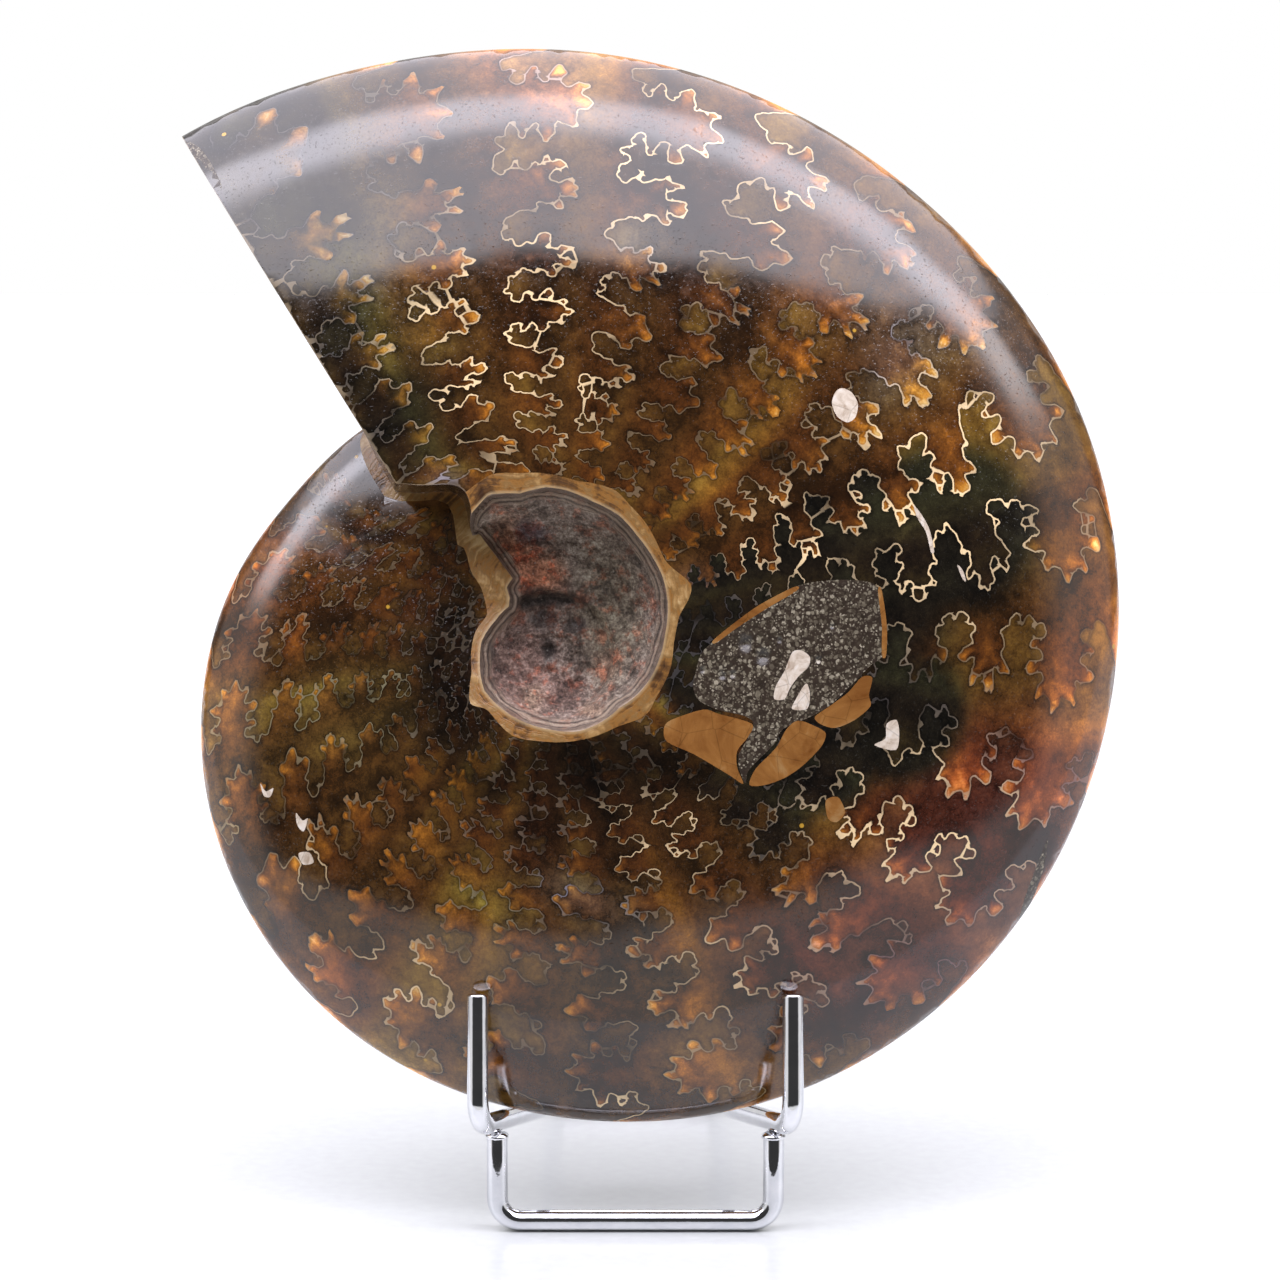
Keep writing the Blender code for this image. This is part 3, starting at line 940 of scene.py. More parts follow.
def shared_edges(shell, rims):
    """The point numbers of every border that two parts of the fossil share."""
    around = np.linspace(0, TAU, AROUND_STEPS + 1)
    venter = shell.add_points(place(around, np.zeros(len(around)), FRONT))
    shared = {"venter": venter, "around": around}
    throat = float(depth_at(TAU, THROAT_R))
    for side in (FRONT, BACK):
        rim = rims[side]
        middle = shell.add_points(place(rim[1:-1, 0], rim[1:-1, 1], side))
        new_depths = np.linspace(rim[0, 1], 0, NEW_EDGE_STEPS)[:-1]
        new = shell.add_points(place(np.zeros(len(new_depths)), new_depths, side))
        old_depths = old_edge_depths(rim, throat)
        old = shell.add_points(place(np.full(len(old_depths), TAU), old_depths, side))
        inmost = int(np.argmin(np.abs(old_depths - throat)))
        start, end = np.array(shell.points[new[0]]), np.array(shell.points[old[inmost]])
        t = np.linspace(0, 1, STEP_POINTS + 2)[1:-1, None]
        bulge = STEP_BULGE * np.sin(math.pi * t) * MOUTH_WAY
        shared[side] = {
            "rim": np.concatenate([[new[0]], middle, [old[0]]]),
            "new": np.append(new, venter[0]),
            "new_depths": new_depths,
            "old": np.append(old, venter[-1]),
            "old_depths": old_depths,
            "throat": inmost,
            "step": shell.add_points(start + (end - start) * t + bulge),
        }
    return shared


def face_border(shared, side, rim):
    """The numbers of a face's border points in their order, and their angle back and depth."""
    border = shared[side]
    around = shared["around"][::-1]
    old = border["old_depths"][1:]
    new = border["new_depths"][1:][::-1]
    rows = (
        (border["rim"], rim),
        (border["old"][1:-1], np.stack([np.full(len(old), TAU), old], axis=1)),
        (shared["venter"][::-1], np.stack([around, np.zeros(len(around))], axis=1)),
        (border["new"][1:-1][::-1], np.stack([np.zeros(len(new)), new], axis=1)),
    )
    return np.concatenate([row[0] for row in rows]), np.vstack([row[1] for row in rows])


def blurred(grid, sigma):
    """A grid of numbers, softened evenly in both directions."""
    reach = int(3 * sigma)
    weights = np.exp(-0.5 * (np.arange(-reach, reach + 1) / sigma) ** 2)
    weights /= weights.sum()
    for _ in range(2):
        padded = np.pad(grid, ((0, 0), (reach, reach)), mode="edge")
        grid = sum(w * padded[:, i:i + grid.shape[1]] for i, w in enumerate(weights)).T
    return grid


def chamber_grid(lines, backs, depths):
    """The number of the chamber at each place of a grid, counted from the mouth."""
    count = np.zeros((len(depths), len(backs)), int)
    for line in lines:
        x0, y0 = line[:-1, 0], line[:-1, 1]
        x1, y1 = line[1:, 0], line[1:, 1]
        for row, depth in enumerate(depths):
            hit = (y0 > depth) != (y1 > depth)
            slant = (depth - y0[hit]) / (y1[hit] - y0[hit])
            crossings = np.sort(x0[hit] + slant * (x1[hit] - x0[hit]))
            count[row] += np.searchsorted(crossings, backs) % 2
    return count


def chamber_glow(lines, corners, labels):
    """How little of each corner's surroundings belongs to its own chamber."""
    depths = np.arange(*GRID_DEPTHS, GRID_STEP)
    backs = np.arange(-GRID_MARGIN, TAU + GRID_MARGIN, GRID_STEP)
    count = chamber_grid(lines, backs, depths)
    glow = np.zeros(corners.shape[:2])
    reach = int(GLOW_WINDOW * SUTURE_STEP / GRID_STEP)
    for label in range(len(lines) + 1):
        mine = labels == label
        middle = int((FIRST_SUTURE + (label - 0.5) * SUTURE_STEP - backs[0]) / GRID_STEP)
        left, right = max(0, middle - reach), min(len(backs), middle + reach)
        soft = blurred((count[:, left:right] == label).astype(float), GLOW_REACH / GRID_STEP)
        x = (corners[mine, :, 0] - backs[left]) / GRID_STEP
        y = (corners[mine, :, 1] - depths[0]) / GRID_STEP
        column = np.clip(x.astype(int), 0, soft.shape[1] - 2)
        row = np.clip(y.astype(int), 0, soft.shape[0] - 2)
        fx, fy = np.clip(x - column, 0, 1), np.clip(y - row, 0, 1)
        upper = soft[row, column] * (1 - fx) + soft[row, column + 1] * fx
        lower = soft[row + 1, column] * (1 - fx) + soft[row + 1, column + 1] * fx
        glow[mine] = 1 - (upper * (1 - fy) + lower * fy)
    return glow


def blob_weight(points, blob):
    """A soft oval's weight at points in x and w."""
    x, w, half_x, half_w = blob[:4]
    away = np.hypot((points[:, 0] - x) / half_x, (points[:, 1] - w) / half_w)
    return np.exp(-BLOB_FALL * away**3)


def waver(points, scale, seed):
    """Smooth noise from minus one to one at flat points."""
    offset = SEED_STEP * seed
    scaled = points * np.asarray(scale)
    return np.array([noise.noise((x + offset, w, offset)) for x, w in scaled])


def mood_at(points, moods, seed, stray):
    """The tint at points in x and w, some of it painted shadow, reflection and glow, with the moods' edges
    straying a little.
    """
    scale = STRAY_SCALE / stray
    shift = np.stack([waver(points, scale, seed), waver(points, scale, seed + 1)], axis=1)
    points = points + stray * shift
    tint = np.zeros((len(points), 3))
    for mood in moods:
        weight = blob_weight(points, mood)[:, None]
        tint = tint * (1 - weight) + np.log(MOODS[mood[4]]) * weight
    return np.exp(tint)


def cream_at(points, blobs, seed):
    """How bright the suture lines are at points in x and w."""
    strength = np.full(len(points), LEAST_CREAM)
    for blob in blobs:
        strength = np.maximum(strength, blob[4] * blob_weight(points, blob))
    return np.clip(strength * (1 + CREAM_UNEVEN * waver(points, CREAM_SCALE, seed)), 0, 1)


def green_at(points, blobs):
    """How green-black the stone may be at points in x and w."""
    green = np.zeros(len(points))
    for blob in blobs:
        green = np.maximum(green, smooth_share(GREEN_FULLNESS * blob_weight(points, blob)))
    return green


def on_plain_stone(spots, rim, others, gap):
    """Which of the spots lie on plain stone, clear of other patches and a gap away from the borders."""
    keep = clear_of_edges(spots, rim, gap)
    for shape in others:
        keep &= ~inside(spots, shape)
    return keep


def line_tree(lines, side):
    """A search tree over the lines of a face."""
    dense = []
    for line in lines:
        for t in np.arange(DENSE_STEPS) / DENSE_STEPS:
            dense.append(line[:-1] * (1 - t) + line[1:] * t)
    dense = np.vstack(dense)
    back, depth = dense.T
    dense = dense[(depth < TREE_ABOVE) & (back > -TREE_BESIDE) & (back < TAU + TREE_BESIDE)]
    return tree_of(place(dense[:, 0], np.minimum(dense[:, 1], 0), side))


def ribbon_points(lines, every):
    """Points a little to both sides of each line."""
    ribbon = []
    for line in lines:
        along = np.gradient(line, axis=0)
        along /= np.linalg.norm(along, axis=1, keepdims=True)
        out = np.stack([-along[:, 1], along[:, 0]], axis=1)
        for way in (-1, 1):
            ribbon.append((line + way * RIBBON / radius_of(line)[:, None] * out)[::every])
    return np.vstack(ribbon)


def pit_points(pits):
    """Rings of points over each pit, so that its dent is round."""
    rings = []
    for x, w, size, _ in pits:
        for k in range(1, PIT_RINGS + 1):
            turn = np.linspace(0, TAU, 6 + 4 * k, endpoint=False)
            reach = PIT_RING_STEP * k * size
            rings.append(to_spiral(np.stack([x + reach * np.cos(turn), w + reach * np.sin(turn)], axis=1)))
    return rings


def dented(spots, normals, pits):
    """Places and normals of a face with its pits pressed in."""
    for x, w, size, deep in pits:
        offset = spots[:, [0, 2]] - (x, w)
        dent = deep * np.exp(-(offset**2).sum(axis=1) / size**2)
        spots = spots - dent[:, None] * normals
        normals[:, [0, 2]] -= 2 * (dent / size**2)[:, None] * offset
    return spots, normals / np.linalg.norm(normals, axis=1, keepdims=True)


def face_triangles(flat, triangles, rim):
    """The triangles that lie on a face, without flat ones."""
    corner = flat[triangles]
    middles = corner.mean(axis=1)
    keep = middles[:, 1] > np.interp(middles[:, 0], rim[:, 0], rim[:, 1])
    keep &= (middles[:, 1] < 0) & (middles[:, 0] > 0) & (middles[:, 0] < TAU)
    first, second = corner[:, 1] - corner[:, 0], corner[:, 2] - corner[:, 0]
    area = first[:, 0] * second[:, 1] - first[:, 1] * second[:, 0]
    return triangles[keep & (np.abs(area) > LEAST_AREA)]


def make_face(shell, shared, side, rim, look):
    """One polished face: its suture lines, patches and fine triangles."""
    rng = np.random.default_rng(look["seed"])
    numbers, border = face_border(shared, side, rim)
    sutures = [suture_line(k, rng, look["line_spacing"]) for k in range(SUTURES)]
    threads = [to_spiral(rounded(thread, OUTLINE_STEPS)) for thread in look["threads"]]
    lines = sutures + threads
    band_line, band_shape = band_outline(look["band"], rim)
    patches = [(kind, shape) for kind in PATCH_KINDS for shape in in_spiral(look[kind])]
    others = [band_shape] + [shape for _, shape in patches]

    sheet = Sheet(border)
    for line in sutures:
        sheet.add_line(line, on_plain_stone(line, rim, others, LINE_GAP))
    for line in [band_line] + [np.vstack([shape, shape[:1]]) for _, shape in patches] + threads:
        sheet.add_line(line, clear_of_edges(line, rim, LINE_GAP))
    tree = line_tree(lines, side)
    ribbon = ribbon_points(lines, look["ribbon_every"])
    ribbon = ribbon[on_plain_stone(ribbon, rim, others, RIBBON_GAP)]
    ribbon = ribbon[distances(tree, place(ribbon[:, 0], ribbon[:, 1], side)) > LEAST_RIBBON * RIBBON]
    loose = ring_points(look["spacing"], rng, rim)
    loose = loose[distances(tree, place(loose[:, 0], loose[:, 1], side)) > LOOSE_GAP * look["spacing"]]
    points = np.vstack([*sheet.points, ribbon, loose, *pit_points(look["pits"])])
    flat, triangles = triangulate(points, sheet.edges)
    triangles = face_triangles(flat, triangles, rim)

    middles = flat[triangles].mean(axis=1)
    labels = sum(passed(middles, line).astype(int) for line in sutures)
    kinds = np.full(len(middles), KINDS.index("stone"))
    for kind, shape in [("band", band_shape)] + patches:
        kinds[inside(middles, shape)] = KINDS.index(kind)

    spots = place(*on_face(flat), side)
    away = distances(tree, spots)
    spots, normals = dented(spots, face_normals(*on_face(flat), side), look["pits"])
    numbers = np.concatenate([numbers, shell.add_points(spots[len(numbers):])])
    facts = face_facts(flat, triangles, spots[:, [0, 2]], away, sutures, labels, rim, look)
    chance = rng.random(len(sutures) + 2)[labels][:, None]
    streak = (0.5 + STREAK_SIZE * waver(flat, STREAK_SCALE, look["seed"] + 9))[triangles]
    shell.parts.append({
        "triangles": numbers[triangles],
        "kinds": kinds,
        "chance": CHAMBER_SHARE * chance + STREAK_SHARE * streak,
        "normals": normals[triangles],
        **facts,
    })


def face_facts(flat, triangles, plan, away, sutures, labels, rim, look):
    """What the stone's material reads at each corner of a face."""
    r = radius_of(flat)
    ring = r - radius_at(np.clip(flat[:, 0], 0, TAU), np.interp(flat[:, 0], rim[:, 0], rim[:, 1]))
    green = green_at(plan, look["green"])[triangles] * np.isin(labels, GREEN_CHAMBERS)[:, None]
    # Beside the stone's own tints, the moods hold a painted reflection and a painted glow at the right rim.
    tint = mood_at(plan, look["moods"], look["seed"], FACE_STRAY)[triangles]
    tint = np.exp(np.log(tint) * (1 - green[..., None]) + np.log(GREEN) * green[..., None])
    plain = 1 / (1 + np.exp(BELL_SLOPE * away / r / GLOW_REACH))
    glow = chamber_glow(sutures, flat[triangles], labels) - plain[triangles]
    glow *= np.clip(r / FULL_GLOW_R, FAINTEST_GLOW, 1)[triangles] * (1 - GREEN_DULLING * green)
    phase = (flat[triangles][:, :, 0] - FIRST_SUTURE) / SUTURE_STEP
    cut = flat[:, 0] * r
    line = np.minimum(away / np.clip(r / FULL_LINE_R, FINEST_MARK, 1), cut)
    cream = np.where(cut < CUT_WIDTH, CUT_CREAM, cream_at(plan, look["cream"], look["seed"] + 5))
    return {
        "line": line[triangles],
        "ring": ring[triangles],
        "glow": glow,
        "lobe": smooth_share(0.5 + LOBE_SLOPE * (phase - (labels[:, None] - 0.5))),
        "cream": cream[triangles],
        "tint": tint,
    }


def dish_loop(border):
    """The point numbers round a sunk centre: its rim, the throat's edge and the step beside it."""
    throat = border["old"][1:border["throat"] + 1]
    return np.concatenate([border["rim"], throat, border["step"][::-1]])


def dish_height(grid, edge_heights, nearest, away, relief):
    """How high the sunk centre's floor lies at the points of its grid."""
    soft = np.minimum(edge_heights, DISH_TOP)
    kernel = np.ones(2 * DISH_BLUR + 1) / (2 * DISH_BLUR + 1)
    soft = np.convolve(np.concatenate([soft[-DISH_BLUR:], soft, soft[:DISH_BLUR]]), kernel, mode="valid")
    climb = (1 - np.clip(away / DISH_REACH, 0, 1)) ** DISH_POWER
    height = DISH_FLOOR + (soft[nearest] - DISH_WALL - DISH_FLOOR) * climb + relief(grid, away)
    return np.minimum(height, edge_heights[nearest] - DISH_SLACK * np.clip(away, 0, 1))


def make_dish(shell, shared, side, look):
    """The sunk centre: rough matrix below a short wall, with the inner whorls showing in it."""
    rng = np.random.default_rng(look["seed"] + 100)
    loop = dish_loop(shared[side])
    edge = np.array(shell.points)[loop]
    plan = edge[:, [0, 2]]
    grid = grid_over(plan, DISH_SPACING)
    grid += DISH_SCATTER * DISH_SPACING * rng.normal(size=grid.shape)
    grid = grid[inside(grid, plan)]
    nearest, away = nearest_on(plan, grid)
    clear = away > DISH_CLEAR
    grid, nearest, away = grid[clear], nearest[clear], away[clear]
    height = dish_height(grid, np.abs(edge[:, 1]), nearest, away, look["relief"])
    spots = np.column_stack([grid[:, 0], side * height, grid[:, 1]])
    numbers = np.concatenate([loop, shell.add_points(spots)])
    triangles = outward(np.array(shell.points), numbers[filled(plan, grid)], np.array([0, side, 0]))
    ring = shell.spread(numbers, np.concatenate([np.zeros(len(loop)), away]))
    # The dish moods hold painted shadow at the ledge and in the holes, beside the matrix's own tints.
    moods = mood_at(np.vstack([plan, grid]), look["dish_moods"], look["seed"] + 7, DISH_STRAY)
    tint = shell.spread(numbers, moods)
    shell.add_plain_part(triangles, "matrix", ring[triangles], tint[triangles])


def front_relief(grid, away):
    """Bumps of the shown sunk centre: the inner whorl's ledge, its layers, holes and grain."""
    x, w = (grid - WHORL_MIDDLE).T
    disc = np.hypot(x, w * WHORL_SQUASH)
    ledge = smooth_share((WHORL_R - disc) / LEDGE_WIDTH) * smooth_share((away - 0.8) / 2)
    out, turned = RIPPLE_WAVES
    ripple = np.sin(disc * out + turned * np.arctan2(w, x)) * smooth_share((away - 1) / 2)
    reach, fade = LAYER_REACH
    layers = np.sin(LAYER_WAVES * away + LAYER_BEND * waver(grid, LAYER_SCALE, 5))
    layers *= smooth_share((reach - away) / fade) * smooth_share(away / 0.5)
    height = RIPPLE_HEIGHT * ripple - WHORL_DEPTH * ledge + LAYER_HEIGHT * layers
    for x, w, size, deep in DISH_HOLES:
        height -= deep * np.exp(-((grid[:, 0] - x) ** 2 + (grid[:, 1] - w) ** 2) / size**2)
    return height + grain(grid, 3)


def back_relief(grid, away):
    """Bumps of the hidden sunk centre: a coil of inner whorls."""
    x, w = (grid - COIL_MIDDLE).T
    turn = np.arctan2(w, x) / TAU
    coil = np.cos(TAU * (np.log(np.maximum(np.hypot(x, w), COIL_START)) / COIL_GROWTH - turn))
    return COIL_DEPTH * coil * smooth_share(away / COIL_CLEAR) + grain(grid, 9)


def grain(grid, seed):
    """Fine roughness of the matrix."""
    rough = sum(size * waver(grid, scale, seed + i) for i, (size, scale) in enumerate(GRAIN))
    size, scale = GRAIN_PEAKS
    return rough + size * np.abs(waver(grid, scale, seed + len(GRAIN)))


def mouth_loop(front, back):
    """The point numbers round the cut mouth."""
    return np.concatenate([
        front["new"], back["new"][::-1][1:], back["step"], back["old"][back["throat"]:],
        front["old"][front["throat"]:][::-1][1:], front["step"][::-1],
    ])


def mouth_spots(grid):
    """Places in the cut mouth, between the newest whorl's edge and the oldest one's."""
    r, y = grid.T
    new = TIP_ANGLE + mouth_swing(r, np.zeros(len(r)))
    old = TIP_ANGLE + mouth_swing(r, np.full(len(r), TAU))
    low_y = OUTLINE_R[-1] * section(np.minimum(r / OUTLINE_R[-1], 1))
    high_y = OUTLINE_R[0] * section(r / OUTLINE_R[0])
    share = np.clip((np.abs(y) - low_y) / (high_y - low_y), 0, 1)
    angle = old + (new - old) * share
    return np.column_stack([r * np.cos(angle), y, r * np.sin(angle)])


def make_mouth(shell, shared):
    """The cut mouth between the newest whorl's profile and the oldest one's."""
    loop = mouth_loop(shared[FRONT], shared[BACK])
    edge = np.array(shell.points)[loop]
    plan = np.column_stack([np.hypot(edge[:, 0], edge[:, 2]), edge[:, 1]])
    grid = grid_over(plan, MOUTH_SPACING)
    grid = grid[inside(grid, plan)]
    _, away = nearest_on(plan, grid)
    grid, away = grid[away > MOUTH_CLEAR], away[away > MOUTH_CLEAR]
    numbers = np.concatenate([loop, shell.add_points(mouth_spots(grid))])
    triangles = outward(np.array(shell.points), numbers[filled(plan, grid)], MOUTH_WAY)
    ring = shell.spread(numbers, np.concatenate([np.zeros(len(loop)), away]))
    shell.add_plain_part(triangles, "mouth", ring[triangles])


def spiral_centre():
    """Where the spiral's centre stands, in millimetres, found from the stand's own boxes."""
    cradle_low, cradle_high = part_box("cradle_wire")
    foot_low, foot_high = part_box("front_foot")
    x = (cradle_low.x + cradle_high.x) / 2 / MM + CENTRE_X
    y = (foot_low.y + foot_high.y) / 2 / MM - FOOT_Y + CENTRE_TO_LOWEST * math.sin(LEAN)
    z = EDGE_HEIGHT + CENTRE_TO_LOWEST * math.cos(LEAN)
    return np.array([x, y, z])


def upright(points):
    """Points or directions of the fossil's own axes, turned back to how it leans."""
    x, y, w = points[..., 0], points[..., 1], points[..., 2]
    back = y * math.cos(LEAN) + w * math.sin(LEAN)
    up = w * math.cos(LEAN) - y * math.sin(LEAN)
    return np.stack([x, back, up], axis=-1)


def face_looks():
    """What the two faces carry."""
    front = {
        "seed": 11, "line_spacing": 0.45, "ribbon_every": 3, "spacing": 1.4, "band": FRONT_BAND,
        "gravel": (GRAVEL, SLIT, TIP_PITS), "tan": TAN_SHARDS, "white": WHITE_SHARDS, "threads": THREADS,
        "pits": PITS, "moods": FRONT_MOODS, "green": FRONT_GREEN, "cream": FRONT_CREAM,
        "dish_moods": DISH_MOODS, "relief": front_relief,
    }
    back = {
        "seed": 23, "line_spacing": 0.9, "ribbon_every": 2, "spacing": 2.2, "band": BACK_BAND,
        "gravel": (), "tan": (), "white": (), "threads": (),
        "pits": (), "moods": BACK_MOODS, "green": (), "cream": BACK_CREAM,
        "dish_moods": BACK_DISH_MOODS, "relief": back_relief,
    }
    return {FRONT: front, BACK: back}


def turned_outward(points, part):
    """A part's corners put in the order that makes its triangles face outwards."""
    a, b, c = (points[part["triangles"][:, i]] for i in range(3))
    wrong = np.einsum("ij,ij->i", np.cross(b - a, c - a), part["normals"].sum(axis=1)) < 0
    for key, value in part.items():
        if key != "kinds":
            value[wrong] = value[wrong][:, ::-1]


def fossil_shell():
    """The fossil's points and parts, about the spiral's centre."""
    looks = face_looks()
    rims = {FRONT: rim_line(FRONT_RIM), BACK: rim_line(BACK_RIM)}
    shell = Shell()
    shared = shared_edges(shell, rims)
    for side in (FRONT, BACK):
        make_face(shell, shared, side, rims[side], looks[side])
        make_dish(shell, shared, side, looks[side])
    make_mouth(shell, shared)
    for part in shell.parts:
        turned_outward(np.array(shell.points), part)
    return shell


def placed(name, data):
    """A new object in the scene."""
    made = bpy.data.objects.new(name, data)
    bpy.context.scene.collection.objects.link(made)
    return made


def store(mesh, name, kind, key, values):
    """Stores a value for each corner in the mesh."""
    layer = mesh.attributes.new(name, kind, "CORNER")
    layer.data.foreach_set(key, values.ravel().astype(np.float32))


def make_ammonite(materials):
    """The whole fossil as one closed mesh."""
    shell = fossil_shell()
    triangles = np.vstack([part["triangles"] for part in shell.parts])
    used, triangles = np.unique(triangles, return_inverse=True)
    places = (upright(np.array(shell.points)[used]) + spiral_centre()) * MM
    mesh = bpy.data.meshes.new("ammonite_polished")
    mesh.from_pydata(places.tolist(), [], triangles.reshape(-1, 3).tolist())
    for kind in KINDS:
        mesh.materials.append(materials[kind])
    kinds = np.concatenate([part["kinds"] for part in shell.parts])
    mesh.polygons.foreach_set("material_index", kinds.astype(np.int32))
    mesh.shade_smooth()
    for name in ("line", "ring", "glow", "lobe", "cream", "chance"):
        store(mesh, name, "FLOAT", "value", np.vstack([part[name] for part in shell.parts]))
    tint = np.concatenate([part["tint"] for part in shell.parts]).reshape(-1, 3)
    store(mesh, "tint", "FLOAT_COLOR", "color", np.column_stack([tint, np.ones(len(tint))]))
    normals = upright(np.concatenate([part["normals"] for part in shell.parts]).reshape(-1, 3))
    mesh.normals_split_custom_set(normals.tolist())
    mesh.validate()
    fossil = placed("ammonite_polished", mesh)
    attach(fossil, "root")
    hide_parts("ammonite")


class Nodes:
    """A node tree with short ways to add its nodes."""

    def __init__(self, tree):
        self.tree = tree

    def feed(self, socket, value):
        """Links or sets a socket."""
        if isinstance(value, bpy.types.NodeSocket):
            self.tree.links.new(value, socket)
        elif socket.type == "RGBA":
            socket.default_value = (*value[:3], 1.0)
        else:
            socket.default_value = value

    def add(self, kind, inputs=(), **settings):
        """Adds a node, sets its settings and feeds its inputs."""
        made = self.tree.nodes.new(kind)
        for key, value in settings.items():
            setattr(made, key, value)
        for key, value in dict(inputs).items():
            self.feed(made.inputs[key], value)
        return made

    def calc(self, operation, a, b=0.0, c=0.0, clamp=False):
        """A sum of one to three numbers."""
        inputs = {0: a, 1: b, 2: c}
        return self.add("ShaderNodeMath", inputs, operation=operation, use_clamp=clamp).outputs[0]

    def times(self, a, b, clamp=False):
        """Two numbers multiplied."""
        return self.calc("MULTIPLY", a, b, clamp=clamp)

    def scaled(self, value, factor, offset):
        """A number times a factor, with an offset added."""
        return self.calc("MULTIPLY_ADD", value, factor, offset)

    def vary(self, level, pattern, amount):
        """A level raised and lowered by a pattern that lies about one half."""
        return self.scaled(self.calc("SUBTRACT", pattern, 0.5), amount, level)

    def fit(self, value, low, high, to_low=0.0, to_high=1.0):
        """A number taken softly from one range to another."""
        inputs = {"Value": value, "From Min": low, "From Max": high, "To Min": to_low, "To Max": to_high}
        return self.add("ShaderNodeMapRange", inputs, interpolation_type="SMOOTHSTEP").outputs[0]

    def blend(self, share, a, b, mode="MIX"):
        """Two colours mixed by a share."""
        inputs = {0: share, 6: a, 7: b}
        return self.add("ShaderNodeMix", inputs, data_type="RGBA", blend_type=mode).outputs[2]

    def tinted(self, colour, tint):
        """A colour multiplied by another."""
        return self.blend(1.0, colour, tint, "MULTIPLY")

    def ramp(self, share, stops):
        """A colour read from a row of stops."""
        made = self.add("ShaderNodeValToRGB", {"Fac": share})
        stripe = made.color_ramp
        while len(stripe.elements) < len(stops):
            stripe.elements.new(0.5)
        for element, (position, colour) in zip(stripe.elements, stops):
            element.position = position
            element.color = (*colour, 1.0)
        return made.outputs[0]

    def attribute(self, name, output="Fac"):
        """A value stored in the mesh."""
        return self.add("ShaderNodeAttribute", attribute_name=name).outputs[output]

    def place(self):
        """The surface's own place, in millimetres."""
        where = self.add("ShaderNodeTexCoord").outputs["Object"]
        inputs = {0: where, "Scale": 1 / MM}
        return self.add("ShaderNodeVectorMath", inputs, operation="SCALE").outputs[0]

    def noise(self, where, scale, detail=2.0, rough=0.5, distortion=0.0):
        """Cloudy noise from nought to one."""
        inputs = {"Vector": where, "Scale": scale, "Detail": detail, "Roughness": rough}
        return self.add("ShaderNodeTexNoise", {**inputs, "Distortion": distortion}).outputs[0]

    def stripes(self, along, detail):
        """Uneven stripes from nought to one, along one way."""
        inputs = {"W": along, "Scale": 1.0, "Detail": detail}
        return self.add("ShaderNodeTexNoise", inputs, noise_dimensions="1D").outputs[0]

    def cells(self, where, scale, output="Distance", feature="F1"):
        """A pattern of cells."""
        inputs = {"Vector": where, "Scale": scale}
        return self.add("ShaderNodeTexVoronoi", inputs, feature=feature).outputs[output]

    def bump(self, height, strength, distance, below=None):
        """A surface roughened by a height."""
        inputs = {"Height": height, "Strength": strength, "Distance": distance}
        if below is not None:
            inputs["Normal"] = below
        return self.add("ShaderNodeBump", inputs).outputs[0]

    def polish(self, where, pits=0.25):
        """The slow waves and fine pits that a hand-polished stone has."""
        waves = self.bump(self.noise(where, scale=0.045, detail=1.0), 0.35, 0.0008)
        specks = self.fit(self.noise(where, scale=2.2, detail=3.0), 0.62, 0.75)
        return self.bump(specks, pits, 0.0001, waves)


def new_material(name):
    """A material with one Principled shader, and its node tree."""
    material = bpy.data.materials.new(name)
    material.use_nodes = True
    return material, Nodes(material.node_tree)


def paint(material, nodes, colour, rough, normal=None):
    """Gives a material's shader its colour, roughness and surface."""
    shader = material.node_tree.nodes["Principled BSDF"]
    nodes.feed(shader.inputs["Base Color"], colour)
    nodes.feed(shader.inputs["Roughness"], rough)
    if normal is not None:
        nodes.feed(shader.inputs["Normal"], normal)
    return shader


def stone_body(nodes, where, mottle):
    """The stone's brown: bright lobe tips, darker ground and the tint of each place, which holds painted
    reflection and painted glow in some places.
    """
    glow, lobe = nodes.attribute("glow"), nodes.attribute("lobe")
    chance, tint = nodes.attribute("chance"), nodes.attribute("tint", "Color")
    cloud = nodes.noise(where, scale=0.085, detail=4.0, rough=0.6, distortion=0.6)
    speck = nodes.noise(where, scale=2.6, detail=3.0, rough=0.7)
    bright = nodes.times(nodes.calc("MAXIMUM", glow, 0.0), nodes.scaled(lobe, 1.6, 0.25))
    level = nodes.scaled(nodes.calc("MINIMUM", glow, 0.0), 0.45, 0.335)
    level = nodes.calc("ADD", level, bright)
    for pattern, amount in ((cloud, 0.70), (mottle, 0.46), (speck, 0.34), (chance, 0.34)):
        level = nodes.vary(level, pattern, amount)
    level = nodes.calc("ADD", level, 0.0, clamp=True)
    leaf = nodes.times(nodes.fit(glow, 0.0, 0.25), lobe)
    tint = nodes.blend(nodes.times(leaf, 0.4), tint, (1.0, 1.0, 1.0))
    body = nodes.blend(lobe, nodes.ramp(level, STONE_OLIVE), nodes.ramp(level, STONE_AMBER))
    body = nodes.tinted(body, tint)
    golden = nodes.times(nodes.fit(chance, 0.5, 0.8), nodes.calc("SUBTRACT", 1.0, leaf, clamp=True))
    return nodes.blend(golden, body, nodes.tinted(body, GOLDEN)), tint


def suture_mark(nodes, where, line, tint):
    """The colour of the suture lines, and how strongly they show."""
    cream = nodes.attribute("cream")
    uneven = nodes.scaled(nodes.noise(where, scale=0.9, detail=2.0), 0.14, -0.07)
    width = nodes.scaled(cream, -0.03, nodes.calc("ADD", line, uneven))
    mark = nodes.fit(width, 0.17, 0.06)
    thread = nodes.blend(cream, nodes.tinted(LINE_DULL, tint), LINE_CREAM)
    broken = nodes.fit(nodes.noise(where, scale=0.12, detail=2.0), 0.36, 0.56, 0.15, 1.0)
    strength = nodes.scaled(cream, 0.55, 0.50)
    strength = nodes.times(strength, nodes.calc("MAXIMUM", broken, cream), clamp=True)
    return thread, nodes.times(mark, strength)


